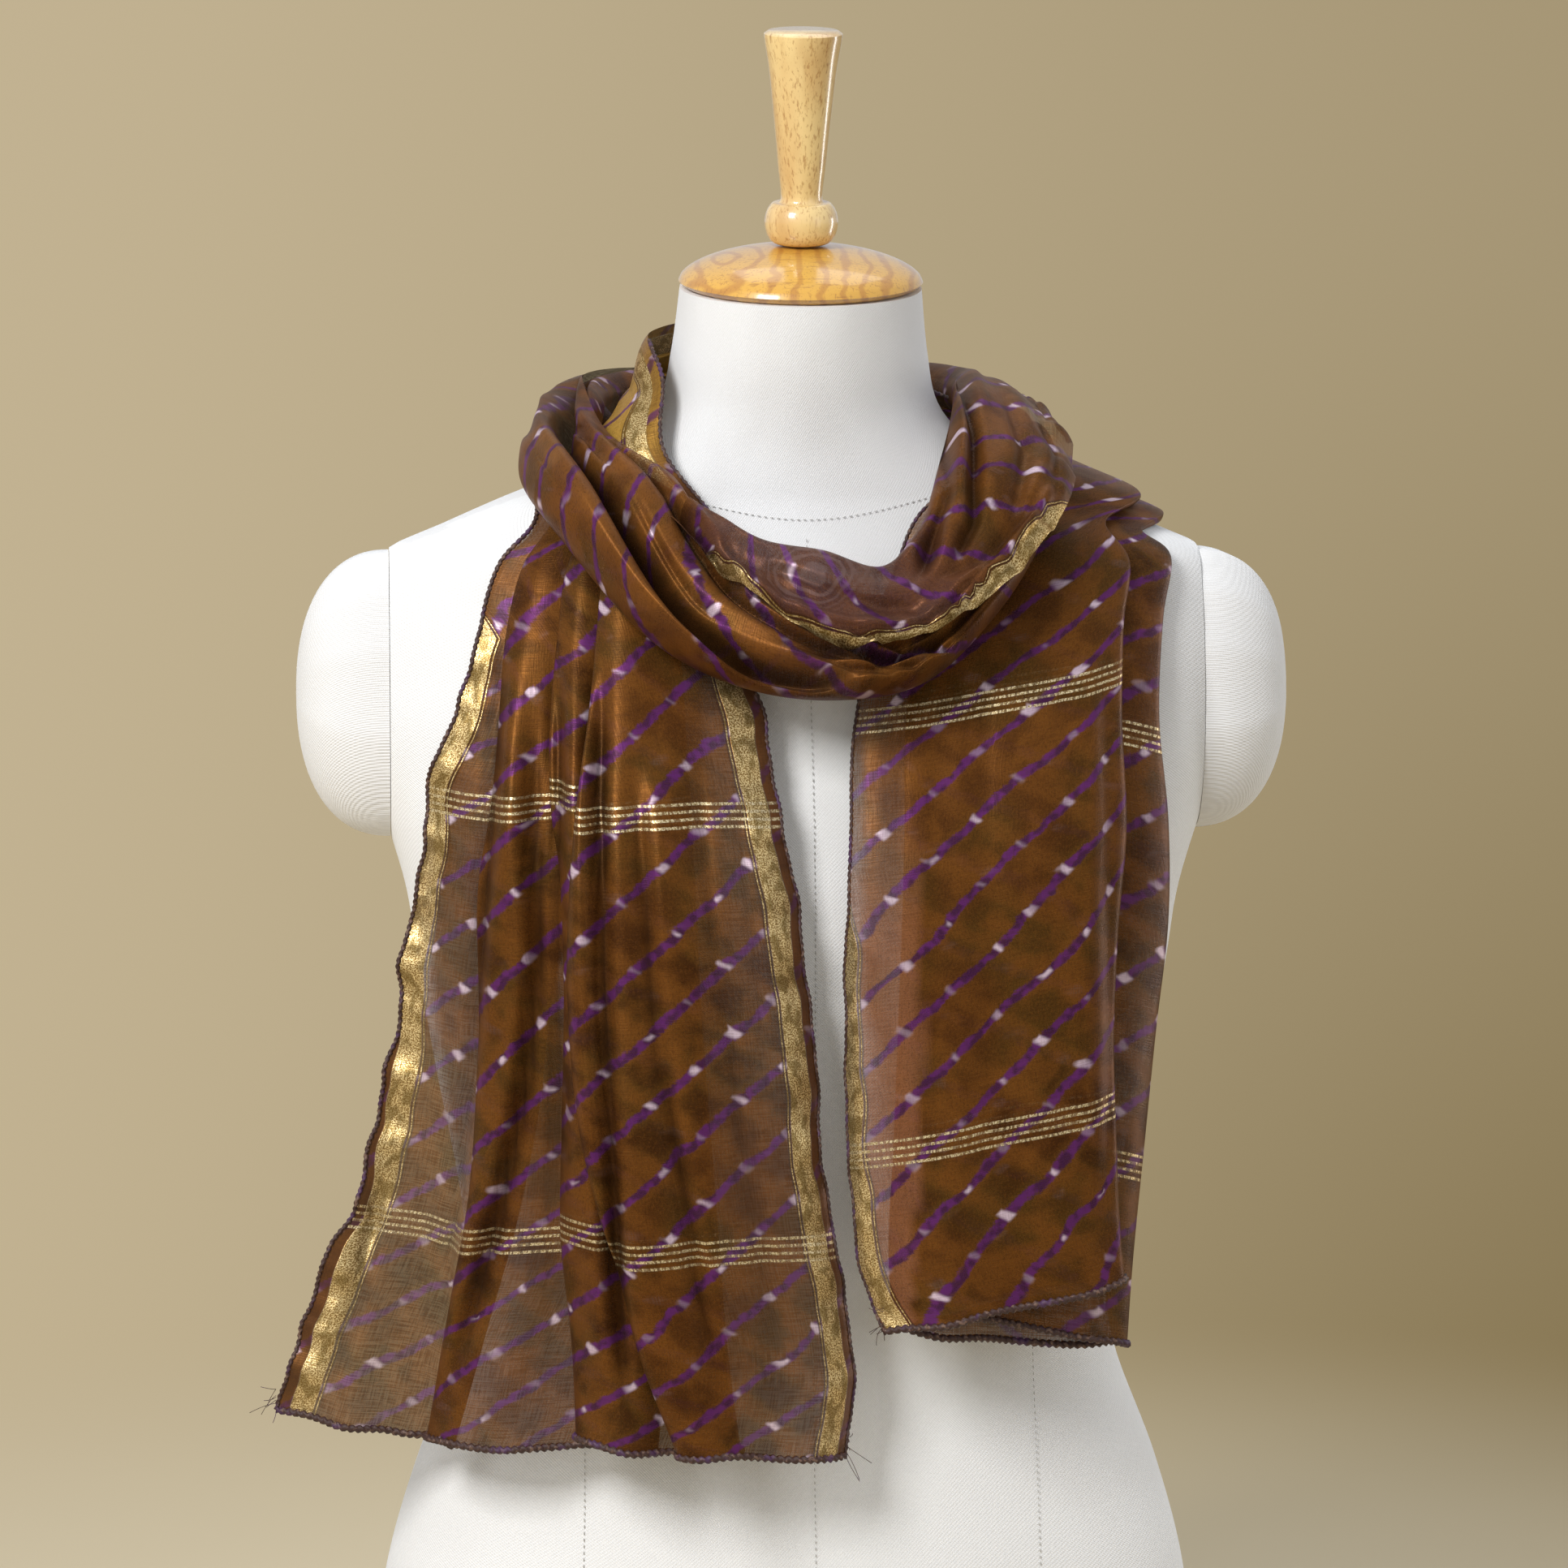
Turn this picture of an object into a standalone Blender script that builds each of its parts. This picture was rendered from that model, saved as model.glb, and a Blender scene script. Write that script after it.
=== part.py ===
"""A folded dupatta stole in one loop wrap round the neck of a limbless dress form.

Metres, +Z up.  The form's front faces -Y and it stands on the flat underside at z = 0.
Tables below are in millimetres and say so; everything is turned into metres on reading.
"""
import math

import bpy

MM = 0.001

# ---------------------------------------------------------------- driving sizes
WALL = 0.0012            # cloth wall
SEAM_GAP = 0.0003        # between pieces that meet
LOOP_PART = 0.0008       # between the loop's front and back stretch, whose folds meet askew
CLEAR = 0.0022           # from the form to the nearest cloth
LAYER = 0.0042           # from one folded layer to the next in the hanging ends
LAYER_SLOPE = 70.0       # how fast a layer comes down beside what it lies on, layers a metre
FOLD_REACH = 0.004       # how far before a fold edge the cloth starts to turn,
FOLD_SHARE = 0.15        # and no more than this share of its leg
FOLD_BULGE = 1.2         # swell beside a fold edge that shows, in layers,
BULGE_PARTS = (0.5, 1.0, 0.3)  # and its share at the first stops after the edge
HANG_EDGE = 0.180        # past this x the hanging cloth turns back less than the form,
HANG_ROUND = 0.25        # by this share of the distance,
HANG_LAST = 0.005        # and no further than this
HANG_TOP = 0.66          # height from which the hanging cloth falls, and the step down
HANG_STEP = 0.012        # in which its front is found
WRAP_WIDTH = 0.110       # width that the ends are gathered to where they lie on the form
HEM_FADE = (1.0, 0.55, 0.15)   # how the shape of a hem dies out over the lowest rows
LEFT_TURNS = (0, 2, 1, 4, 3, 6, 5, 7)   # order in which the left end meets its columns

NECK_TOP = 0.757         # top of the neck's canvas, on its centre line
NECK_TILT = math.radians(8.0)
NECK_BEND = 0.655        # the neck leans forward above this height
NECK_LEAN = 0.169        # and by this much, metres per metre
LEAN = 0.010             # sideways lean of the whole form, metres per metre
LEAN_FROM = 0.52
ARMHOLE_X = 0.200        # the two flat armhole faces
ARMHOLE_SPAN = (0.487, 0.627)   # heights between which the form is wider than that
CAP_REACH = 0.046        # how far a shoulder cap stands out from its armhole
CAP_LEVELS = (0.0, 0.18, 0.40, 0.62, 0.80, 0.93)   # rings of a shoulder cap, shares of its reach
CAP_POWER = 2.3          # roundness of its dome
RING_POINTS = 40

CAP_RADIUS = 0.0600      # turned wooden neck cap
CAP_RIM = 0.0030         # height of the cap's widest ring above the canvas
CAP_TOP = 0.0205         # height of the cap's dome
BALL_RADIUS = 0.0180     # ball that the handle stands on
BALL_HEIGHT = 0.0220
HANDLE_RADIUS = 0.0192   # turned handle, at its top
HANDLE_WAIST = 0.0102    # and just above the ball
HANDLE_FOOT = 0.0105     # radius of the ball's flat foot
HANDLE_TOP = 0.1255      # height of the handle above the neck's canvas

# Horizontal rings of the form, mm: height, half width, depth to the front, to the back,
# and the exponent of the ring's outline (2 is an ellipse, more is squarer).
FORM_RINGS = (
    # z, half, front, back, power
    (0, 196, 104, 112, 2.2),
    (12, 202, 108, 116, 2.2),
    (60, 206, 111, 118, 2.2),
    (115, 201, 110, 115, 2.2),
    (170, 186, 104, 105, 2.2),
    (225, 165, 96, 94, 2.2),
    (262, 160, 94, 90, 2.2),
    (310, 165, 98, 92, 2.2),
    (365, 176, 110, 97, 2.3),
    (420, 186, 121, 103, 2.4),
    (460, 192, 123, 107, 2.4),
    (500, 204, 117, 111, 2.3),
    (540, 216, 106, 114, 2.2),
    (580, 220, 94, 112, 2.1),
    (608, 216, 85, 104, 2.0),
    (627, 204, 78, 94, 2.0),
    (640, 176, 73, 87, 2.0),
    (654, 144, 69, 80, 2.0),
    (668, 109, 66, 74, 2.0),
    (682, 85, 64, 70, 2.0),
    (700, 69, 63, 67, 2.0),
    (726, 63, 62, 63, 2.0),
    (757, 59.4, 59.4, 59.4, 2.0),
)

# Left end, from its hem up to the shoulder, mm.  The cloth runs from its outer edge to
# hidden fold r1, back to fold edge l1, to r2, back to l2, to r3, back to l3, to its inner
# edge.  pack is how far apart the layers lie, as a share of LAYER; flute is the height of
# the soft waves that the whole end hangs in, in mm.
LEFT_ROWS = (
    # z_out, z_in, outer, l1, r1, l2, r2, l3, r3, inner, pack, flute
    (212, 202, -259, -175, -166, -108, -72, -62, -34, 15, 1.10, 12.0),
    (255, 250, -245, -166, -152, -109, -68, -76, -40, 19, 1.10, 10.0),
    (312, 306, -221, -155, -138, -113, -66, -89, -44, 9, 1.05, 8.0),
    (368, 362, -204, -152, -128, -113, -64, -100, -48, 2, 1.00, 6.0),
    (424, 420, -195, -153, -122, -111, -62, -105, -52, -2, 0.95, 4.5),
    (470, 468, -186, -153, -114, -113, -64, -105, -54, -9, 0.90, 3.5),
    (512, 510, -180, -149, -108, -118, -66, -103, -56, -15, 0.85, 2.5),
    (552, 552, -168, -146, -104, -119, -70, -100, -58, -23, 0.78, 1.0),
    (592, 588, -156, -142, -102, -116, -72, -97, -60, -30, 0.66, 0.5),
    (624, 618, -146, -134, -99, -112, -74, -94, -62, -38, 0.56, 0.0),
)
# Height of the left hem at each turn of the cloth, mm, from the outer edge inwards.
LEFT_HEM = (210, 195, 200, 202, 208, 201, 204, 200)

# Right end, mm.  The cloth runs from its front edge to fold f1, back to f2, to f3, back to
# f4 and on to its hidden edge; the front edge lies outermost.
RIGHT_ROWS = (
    # z_in, z_out, front, f1, f2, f3, f4, hidden, pack, flute
    (262, 272, 32, 133, 84, 144, 38, 112, 1.10, 10.0),
    (300, 304, 20, 132, 70, 149, 36, 116, 1.10, 8.0),
    (346, 348, 17, 131, 60, 157, 38, 119, 1.10, 6.5),
    (398, 398, 15, 132, 52, 164, 40, 122, 1.05, 5.0),
    (450, 450, 16, 135, 49, 170, 42, 125, 1.00, 4.0),
    (500, 500, 18, 141, 49, 170, 44, 127, 0.95, 3.0),
    (550, 550, 21, 143, 50, 168, 46, 129, 0.85, 2.0),
    (592, 596, 31, 147, 56, 173, 52, 134, 0.75, 0.5),
    (622, 626, 42, 152, 64, 180, 60, 140, 0.66, 0.0),
)
RIGHT_HEM = (262, 283, 269, 246, 262, 268)

# Rows that lie on the form where an end climbs over the shoulder and round the neck: angle
# round the neck from the front, in degrees, and height, in mm, of the row's outer and inner
# edge, and how tightly the layers are packed.
LEFT_WRAP = (
    # a_out, z_out, a_in, z_in, pack
    (70, 640, 32, 642, 0.50),
    (84, 654, 54, 666, 0.50),
    (94, 662, 76, 700, 0.50),
    (108, 667, 96, 724, 0.50),
    (126, 670, 120, 734, 0.50),
    (150, 673, 150, 737, 0.50),
    (180, 675, 180, 734, 0.50),
    (202, 676, 202, 722, 0.50),
    (220, 678, 220, 704, 0.50),
)
RIGHT_WRAP = (
    (-77, 633, -38, 645, 0.66),
    (-90, 638, -58, 664, 0.65),
    (-101, 644, -78, 680, 0.64),
    (-114, 653, -98, 690, 0.62),
    (-131, 664, -122, 702, 0.58),
)

# The loop, mm: the bottom outer contour, the top inner rim, the bundle's depth, how far down
# the flap with the cloth's edge reaches, and how deep the flap's own ribs are.
LOOP_ROWS = (
    # out x, y, z, rim x, y, z, depth, flap, rib, folds
    (-10, 112, 664, -4, 92, 712, 18, 0.34, 0.05, 1.0),
    (-56, 104, 668, -42, 84, 716, 18, 0.30, 0.04, 1.0),
    (-96, 75, 678, -75, 61, 714, 20, 0.24, 0.02, 1.0),
    (-122, 35, 690, -95, 28, 714, 22, 0.20, 0.00, 0.9),
    (-135, -12, 695, -97, -8, 713, 24, 0.16, 0.00, 0.7),
    (-138, -61, 680, -83, -49, 706, 28, 0.12, 0.00, 0.5),
    (-120, -108, 647, -58, -84, 677, 34, 0.14, 0.00, 0.4),
    (-81, -137, 600, -41, -108, 643, 40, 0.36, 0.02, 0.5),
    (-40, -152, 576, -20, -121, 631, 40, 0.46, 0.03, 0.7),
    (8, -158, 568, 4, -127, 629, 40, 0.64, 0.04, 0.9),
    (54, -152, 578, 30, -123, 618, 38, 0.86, 0.05, 1.0),
    (94, -132, 612, 52, -109, 634, 36, 1.02, 0.06, 1.0),
    (124, -101.6, 644.6, 65, -83.6, 669.6, 30, 1.07, 0.08, 0.8),
    (135, -61, 673, 75, -49, 701, 24, 1.08, 0.10, 0.8),
    (129, -12, 693, 82, -7, 716, 20, 1.04, 0.12, 0.9),
    (112, 39, 690, 83, 33, 718, 20, 0.80, 0.12, 1.0),
    (80, 78, 679, 64, 65, 719, 20, 0.52, 0.10, 1.0),
    (38, 106, 667, 32, 86, 715, 18, 0.40, 0.06, 1.0),
)
LOOP_BACK_ROWS = 3       # the back stretch takes this many rows each side of the first row

COLOURS = {
    "canvas": ((0.78, 0.77, 0.74), 0.85, 0.0),
    "wood": ((0.55, 0.30, 0.09), 0.25, 0.0),
    "stole": ((0.16, 0.055, 0.010), 0.55, 0.0),
}


# ---------------------------------------------------------------- small helpers
def mix(a, b, t):
    return a + (b - a) * t


def smooth_step(t):
    t = min(1.0, max(0.0, t))
    return t * t * (3.0 - 2.0 * t)


def add(p, q, scale=1.0):
    return tuple(a + b * scale for a, b in zip(p, q))


def subtract(p, q):
    return tuple(a - b for a, b in zip(p, q))


def unit(v):
    length = math.sqrt(sum(c * c for c in v)) or 1.0
    return tuple(c / length for c in v)


def cross(u, v):
    return (u[1] * v[2] - u[2] * v[1], u[2] * v[0] - u[0] * v[2], u[0] * v[1] - u[1] * v[0])


def catmull_rom(p0, p1, p2, p3, t):
    """Point between p1 and p2 on the smooth curve through all four."""
    return tuple(
        0.5 * (2 * b + (c - a) * t + (2 * a - 5 * b + 4 * c - d) * t * t
               + (3 * b - a - 3 * c + d) * t ** 3)
        for a, b, c, d in zip(p0, p1, p2, p3))


def refine_rows(rows, steps, closed=False):
    """Insert smooth rows, so that each gap between two rows becomes steps gaps."""
    count = len(rows)
    fine = []
    for i in range(count if closed else count - 1):
        if closed:
            four = [rows[(i + k) % count] for k in (-1, 0, 1, 2)]
        else:
            four = [rows[min(max(i + k, 0), count - 1)] for k in (-1, 0, 1, 2)]
        for s in range(steps):
            fine.append([catmull_rom(*points, s / steps) for points in zip(*four)])
    if not closed:
        fine.append(list(rows[-1]))
    return fine


def soft_path(stops, samples):
    """Quadratic B-spline on the stops: it starts and ends on them and rounds each corner."""
    path = [stops[0]]
    last = len(stops) - 2
    for i in range(1, last + 1):
        here = stops[i]
        start = stops[0] if i == 1 else tuple((a + b) / 2 for a, b in zip(stops[i - 1], here))
        end = stops[-1] if i == last else tuple((a + b) / 2 for a, b in zip(here, stops[i + 1]))
        for s in range(1, samples + 1):
            t = s / samples
            path.append(tuple(
                (1 - t) ** 2 * a + 2 * t * (1 - t) * b + t * t * c
                for a, b, c in zip(start, here, end)))
    return path


# ---------------------------------------------------------------- the form's surface
def form_ring(z):
    """Half width, front depth, back depth and power of the form at height z, in metres."""
    rings = FORM_RINGS
    level = z / MM
    if level <= rings[0][0]:
        return tuple(v * MM for v in rings[0][1:4]) + (rings[0][4],)
    for low, high in zip(rings, rings[1:]):
        if level <= high[0]:
            t = (level - low[0]) / (high[0] - low[0])
            row = [mix(a, b, t) for a, b in zip(low, high)]
            return row[1] * MM, row[2] * MM, row[3] * MM, row[4]
    return tuple(v * MM for v in rings[-1][1:4]) + (rings[-1][4],)


def form_centre(z):
    """Centre of the form's ring at height z: the lean, and the neck's forward tilt."""
    forward = max(0.0, z - NECK_BEND)
    return LEAN * (z - LEAN_FROM), -forward * NECK_LEAN


def form_value(p):
    """Below 0 inside the form, above 0 outside."""
    half, front, back, power = form_ring(p[2])
    cx, cy = form_centre(p[2])
    x = abs(p[0] - cx) / half
    y = (p[1] - cy) / (back if p[1] > cy else front)
    return (x ** power + abs(y) ** power) ** (1.0 / power) - 1.0


def form_normal(p, step=0.003):
    """Direction straight out of the form near a point."""
    gradient = []
    for axis in range(3):
        ahead = list(p)
        behind = list(p)
        ahead[axis] += step
        behind[axis] -= step
        gradient.append(form_value(ahead) - form_value(behind))
    return unit(gradient)


def form_radius(angle, z):
    """Horizontal reach of the form from its centre line; angle 0 is the front, 90 the left."""
    half, front, back, power = form_ring(z)
    side = abs(math.sin(angle)) / half
    depth = abs(math.cos(angle)) / (front if math.cos(angle) > 0 else back)
    return 1.0 / (side ** power + depth ** power) ** (1.0 / power)


def form_front(x, z):
    """y of the form's front at x and z, or 0 beside the form."""
    half, front, _, power = form_ring(z)
    cx, cy = form_centre(z)
    across = abs(x - cx) / half
    if across >= 1.0:
        return 0.0
    return cy - front * (1.0 - across ** power) ** (1.0 / power)


def hang_front(x, z):
    """y of cloth that comes down the form's front and then hangs free below the bust."""
    past = max(0.0, abs(x) - HANG_EDGE)
    reach = min(abs(x), HANG_EDGE) + min(past * HANG_ROUND, HANG_LAST)
    inner = math.copysign(reach, x)
    y = 0.0
    level = z
    while level < HANG_TOP:
        y = min(y, form_front(inner, level))
        level += HANG_STEP
    return y


# ---------------------------------------------------------------- folded rows of cloth
LEG_PARTS = (0.0, None, 0.20, 0.45, 0.72, None, 1.0)   # stops of a leg; None: just by a turn
FLUTES = (
    # length over 2 pi in m, drift down the cloth in radians a metre, phase, height share
    (0.0115, 9.0, 0.0, 0.310),
    (0.0190, -6.0, 1.0, 0.186),
)
NEAR_TURN = 0.06         # where on its leg a stop just by a turn counts as lying


def folded_stops(turns, slope, reach, bulge):
    """Stops (distance across, height in layers) of a flat-folded section.

    turns: distances across at the ends of each leg, the lowest leg first.  A leg lies one
    layer above all that is below it, and comes down beside it no faster than slope, in
    layers a metre.  Every second leg starts at a fold edge that shows, and swells there by
    bulge layers."""
    step = 0.002
    low = min(turns) - step
    count = int((max(turns) - low) / step) + 3
    top = [-1.0] * count
    stops = []
    for leg in range(len(turns) - 1):
        a, b = turns[leg], turns[leg + 1]
        way = math.copysign(min(reach, abs(b - a) * FOLD_SHARE), b - a)
        places = []
        for k, part in enumerate(LEG_PARTS):
            places.append(mix(a, b, part) if part is not None else (a + way if k == 1 else b - way))
        resting = list(top)
        for i in range(1, count):
            resting[i] = max(resting[i], resting[i - 1] - slope * step)
        for i in range(count - 2, -1, -1):
            resting[i] = max(resting[i], resting[i + 1] - slope * step)
        heights = []
        for k, x in enumerate(places):
            near = places[max(k - 1, 0):k + 2]
            first = int((min(near) - low) / step)
            last = int((max(near) - low) / step) + 1
            heights.append(1.0 + max(resting[first:last + 1]))
        if leg and leg % 2 == 0:
            for k, part in enumerate(BULGE_PARTS):
                heights[1 + k] += part * bulge
        stops += list(zip(places, heights))
        for (x0, h0), (x1, h1) in zip(stops[-len(places):], stops[1 - len(places):]):
            if x0 > x1:
                x0, h0, x1, h1 = x1, h1, x0, h0
            for i in range(int((x0 - low) / step), int((x1 - low) / step) + 2):
                t = min(1.0, max(0.0, (low + i * step - x0) / max(x1 - x0, 1e-6)))
                top[i] = max(top[i], mix(h0, h1, t))
    return stops


def flute_depth(x, z, size):
    """Soft waves of the hanging cloth, always outwards, size metres high."""
    wave = sum(height * math.sin(x / length + z * drift + phase)
               for length, drift, phase, height in FLUTES)
    return size * (0.5 + wave)


def hanging_point(x, z, depth):
    """Point of a hanging row, depth metres in front of the innermost cloth."""
    slope = (hang_front(x + 0.006, z) - hang_front(x - 0.006, z)) / 0.012
    out = unit((slope, -1.0, 0.0))
    base = (x, hang_front(x, z), z)
    return add(base, out, CLEAR + WALL / 2 + depth)


def wrap_base(a_out, z_out, a_in, z_in, samples=24):
    """Points on the form's surface from a row's outer edge to its inner one."""
    raw = []
    for i in range(samples + 1):
        z = mix(z_out, z_in, i / samples)
        angle = math.radians(mix(a_out, a_in, i / samples))
        cx, cy = form_centre(z)
        r = form_radius(angle, z)
        raw.append((cx - r * math.sin(angle), cy - r * math.cos(angle), z))
    lengths = [0.0]
    for p, q in zip(raw, raw[1:]):
        lengths.append(lengths[-1] + math.dist(p, q))
    return raw, lengths


def wrap_point(base, along, depth):
    raw, lengths = base
    target = along * lengths[-1]
    i = 0
    while i < len(raw) - 2 and lengths[i + 1] < target:
        i += 1
    t = (target - lengths[i]) / (lengths[i + 1] - lengths[i])
    p = tuple(mix(a, b, t) for a, b in zip(raw[i], raw[i + 1]))
    return add(p, form_normal(p), CLEAR + WALL / 2 + depth)


def hanging_rows(table, hem, samples, top_leg_first):
    """Rows of an end's hanging part, from its hem up."""
    rows = []
    bottom = table[0]
    for index, row in enumerate(table):
        z_a, z_b = row[0], row[1]
        pack, flute = row[-2], row[-1]
        turns = [v * MM for v in row[2:-2]]
        span = turns if not top_leg_first else turns[::-1]
        stops = folded_stops(span, LAYER_SLOPE, FOLD_REACH, FOLD_BULGE)
        if top_leg_first:
            stops = stops[::-1]
        left, right = min(row[2:-2]), max(row[2:-2])
        fade = HEM_FADE[index] if index < len(HEM_FADE) else 0.0
        path = []
        for k, (x, h) in enumerate(stops):
            z = mix(z_a, z_b, (x / MM - left) / (right - left))
            if fade:
                leg, part = divmod(k, len(LEG_PARTS))
                share = LEG_PARTS[part]
                if share is None:
                    share = NEAR_TURN if part == 1 else 1.0 - NEAR_TURN
                start = mix(bottom[0], bottom[1], (turns[leg] / MM - left) / (right - left))
                end = mix(bottom[0], bottom[1], (turns[leg + 1] / MM - left) / (right - left))
                z += fade * mix(hem[leg] - start, hem[leg + 1] - end, share)
            path.append((x, h, z * MM))
        points = []
        for x, h, z in soft_path(path, samples):
            depth = h * LAYER * pack + flute_depth(x, z, flute * MM)
            points.append(hanging_point(x, z, depth))
        rows.append(points)
    return rows


def wrap_rows(table, turns, samples, top_leg_first):
    """Rows of an end where it lies on the shoulder and round the neck."""
    rows = []
    for a_out, z_out, a_in, z_in, pack in table:
        span = turns if not top_leg_first else turns[::-1]
        stops = folded_stops([v * WRAP_WIDTH for v in span], LAYER_SLOPE, FOLD_REACH, 0.0)
        if top_leg_first:
            stops = stops[::-1]
        base = wrap_base(a_out, z_out * MM, a_in, z_in * MM)
        path = soft_path(stops, samples)
        rows.append([wrap_point(base, a / WRAP_WIDTH, h * LAYER * pack) for a, h in path])
    return rows


def left_rows(samples):
    top = LEFT_ROWS[-1][2:-2]
    ends = LEFT_TURNS
    table = [row[:2] + tuple(row[2 + k] for k in ends) + row[-2:] for row in LEFT_ROWS]
    turns = [(top[k] - top[0]) / (top[-1] - top[0]) for k in ends]
    rows = hanging_rows(table, LEFT_HEM, samples, False)
    return rows + wrap_rows(LEFT_WRAP, turns, samples, False)


def right_rows(samples):
    top = RIGHT_ROWS[-1][2:-2]
    turns = [1.0 - (v - min(top)) / (max(top) - min(top)) for v in top]
    rows = hanging_rows(RIGHT_ROWS, RIGHT_HEM, samples, True)
    return rows + wrap_rows(RIGHT_WRAP, turns, samples, True)


# ---------------------------------------------------------------- the loop
# Stops of the loop's section: a runs from the rim (0) to the bottom contour (1) and d from
# the inside of the bundle (0) to its outside (1).  Ridges and valleys follow the bottom turn.
LOOP_FOLDS = (
    # a, d
    (0.95, 0.86),
    (0.85, 0.66),
    (0.75, 0.98),
    (0.63, 0.74),
    (0.52, 1.00),
    (0.41, 0.76),
    (0.30, 0.96),
    (0.16, 0.70),
)
# The flap that carries the cloth's edge: a as a share of the flap, and how its ribs lift.
FLAP_RIBS = (
    # a, lift
    (1.00, 0.0),
    (0.84, 1.0),
    (0.64, -1.0),
    (0.44, 1.0),
    (0.24, -0.6),
    (0.10, 0.3),
)
FLAP_DEPTH = 1.12        # d of the flap, outside the folds
LOOP_TURN = (
    # a, d
    (-0.02, 0.80),
    (-0.03, 0.48),
    (0.02, 0.16),
    (0.12, 0.03),
    (0.50, 0.00),
    (0.88, 0.04),
    (1.01, 0.30),
)
LOOP_END = 0.99          # no fold passes this a
LOOP_SLIDE = 0.10        # how far the folds wander round the ring, as a share of its width,
LOOP_SLIDE_ROW = 6       # starting from this row
RIB_PRESS = 1.4          # how much the flap's ribs press the folds in
FLAP_ROUND = 0.86        # past this a the flap comes down round the folds,
FLAP_FALL = 1.6          # by this much d for each a
FOLD_LEVEL = 0.86        # d that the folds fade to where they are shallow


def loop_stops(flap, rib, folds, slide):
    """Section of the loop: edge, flap, rim, inside, bottom turn, then the folds back up."""
    stops = []
    for a, lift in FLAP_RIBS:
        over = max(0.0, flap * a - FLAP_ROUND)
        stops.append((flap * a, FLAP_DEPTH + rib * lift - FLAP_FALL * over))
    stops += LOOP_TURN
    for a, d in LOOP_FOLDS:
        along = a + slide * math.sin(math.pi * a)
        even = mix(FOLD_LEVEL, d, folds)
        stops.append((min(LOOP_END, along), even * (1.0 - RIB_PRESS * rib)))
    return stops


def loop_rows(samples):
    count = len(LOOP_ROWS)
    middles = []
    for row in LOOP_ROWS:
        middles.append(tuple((row[k] + row[k + 3]) * MM / 2 for k in range(3)))
    rows = []
    for i, row in enumerate(LOOP_ROWS):
        bottom = tuple(v * MM for v in row[0:3])
        rim = tuple(v * MM for v in row[3:6])
        depth, flap, rib, folds = row[6] * MM, row[7], row[8], row[9]
        forward = unit(subtract(middles[(i + 1) % count], middles[i - 1]))
        across = subtract(bottom, rim)
        out = unit(cross(unit(across), forward))
        slide = LOOP_SLIDE * math.sin(2 * math.pi * (i - LOOP_SLIDE_ROW) / count)
        path = soft_path(loop_stops(flap, rib, folds, slide), samples)
        rows.append([add(add(rim, across, a), out, (d - 0.5) * depth) for a, d in path])
    return rows


# ---------------------------------------------------------------- meshes
def principled(name):
    colour, rough, metal = COLOURS[name]
    material = bpy.data.materials.new(name)
    material.use_nodes = True
    shader = material.node_tree.nodes["Principled BSDF"]
    shader.inputs["Base Color"].default_value = (*colour, 1.0)
    shader.inputs["Roughness"].default_value = rough
    shader.inputs["Metallic"].default_value = metal
    return material


def add_object(name, points, faces, material, collection):
    mesh = bpy.data.meshes.new(name)
    mesh.from_pydata(points, [], faces)
    mesh.materials.append(material)
    mesh.shade_smooth()
    mesh.set_sharp_from_angle(angle=math.radians(50))
    thing = bpy.data.objects.new(name, mesh)
    collection.objects.link(thing)
    return thing


def cloth(name, rows, material, collection):
    """A wall of cloth on the middle surface that the rows make."""
    width = len(rows[0])
    points = [p for row in rows for p in row]
    faces = []
    for r in range(len(rows) - 1):
        for c in range(width - 1):
            a = r * width + c
            faces.append((a, a + 1, a + width + 1, a + width))
    thing = add_object(name, points, faces, material, collection)
    wall = thing.modifiers.new("wall", "SOLIDIFY")
    wall.thickness = WALL
    wall.offset = 0.0
    return thing


def shorten(row, inward, gap):
    """Row moved by gap towards another row, to part two stretches."""
    return [add(p, unit(subtract(q, p)), gap) for p, q in zip(row, inward)]


def split_rows(rows, at, gap):
    """Two stretches that meet at one row with a gap between them."""
    first = rows[:at] + [shorten(rows[at], rows[at - 1], gap / 2)]
    second = [shorten(rows[at], rows[at + 1], gap / 2)] + rows[at + 1:]
    return first, second


# ---------------------------------------------------------------- the form's pieces
def ring_points(z):
    half, front, back, power = form_ring(z)
    cx, cy = form_centre(z)
    tilt = math.tan(NECK_TILT) * smooth_step((z - NECK_BEND) / (NECK_TOP - NECK_BEND))
    points = []
    for i in range(RING_POINTS):
        turn = 2 * math.pi * i / RING_POINTS
        c, s = math.cos(turn), math.sin(turn)
        x = math.copysign(abs(c) ** (2 / power), c) * half
        y = math.copysign(abs(s) ** (2 / power), s) * (back if s > 0 else front)
        points.append((cx + x, cy + y, z + y * tilt))
    return points


def torso(material, collection):
    points, faces = [], []
    for ring in FORM_RINGS:
        points += ring_points(ring[0] * MM)
    n = RING_POINTS
    for r in range(len(FORM_RINGS) - 1):
        for i in range(n):
            j = (i + 1) % n
            faces.append((r * n + i, r * n + j, (r + 1) * n + j, (r + 1) * n + i))
    faces.append(tuple(reversed(range(n))))
    faces.append(tuple(range(len(points) - n, len(points))))
    return add_object("form_torso", points, faces, material, collection)


def armhole_outline(side, count=24):
    """Outline of the form where the armhole plane cuts it, as (y, z) pairs."""
    x = side * ARMHOLE_X
    front, back = [], []
    steps = count // 2
    for i in range(steps + 1):
        z = mix(*ARMHOLE_SPAN, (1 - math.cos(math.pi * i / steps)) / 2)
        half, to_front, to_back, power = form_ring(z)
        cx, cy = form_centre(z)
        across = min(1.0, abs(x - cx) / half)
        share = (1.0 - across ** power) ** (1.0 / power)
        front.append((cy - to_front * share, z))
        back.append((cy + to_back * share, z))
    return front + back[-2:0:-1]


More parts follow.
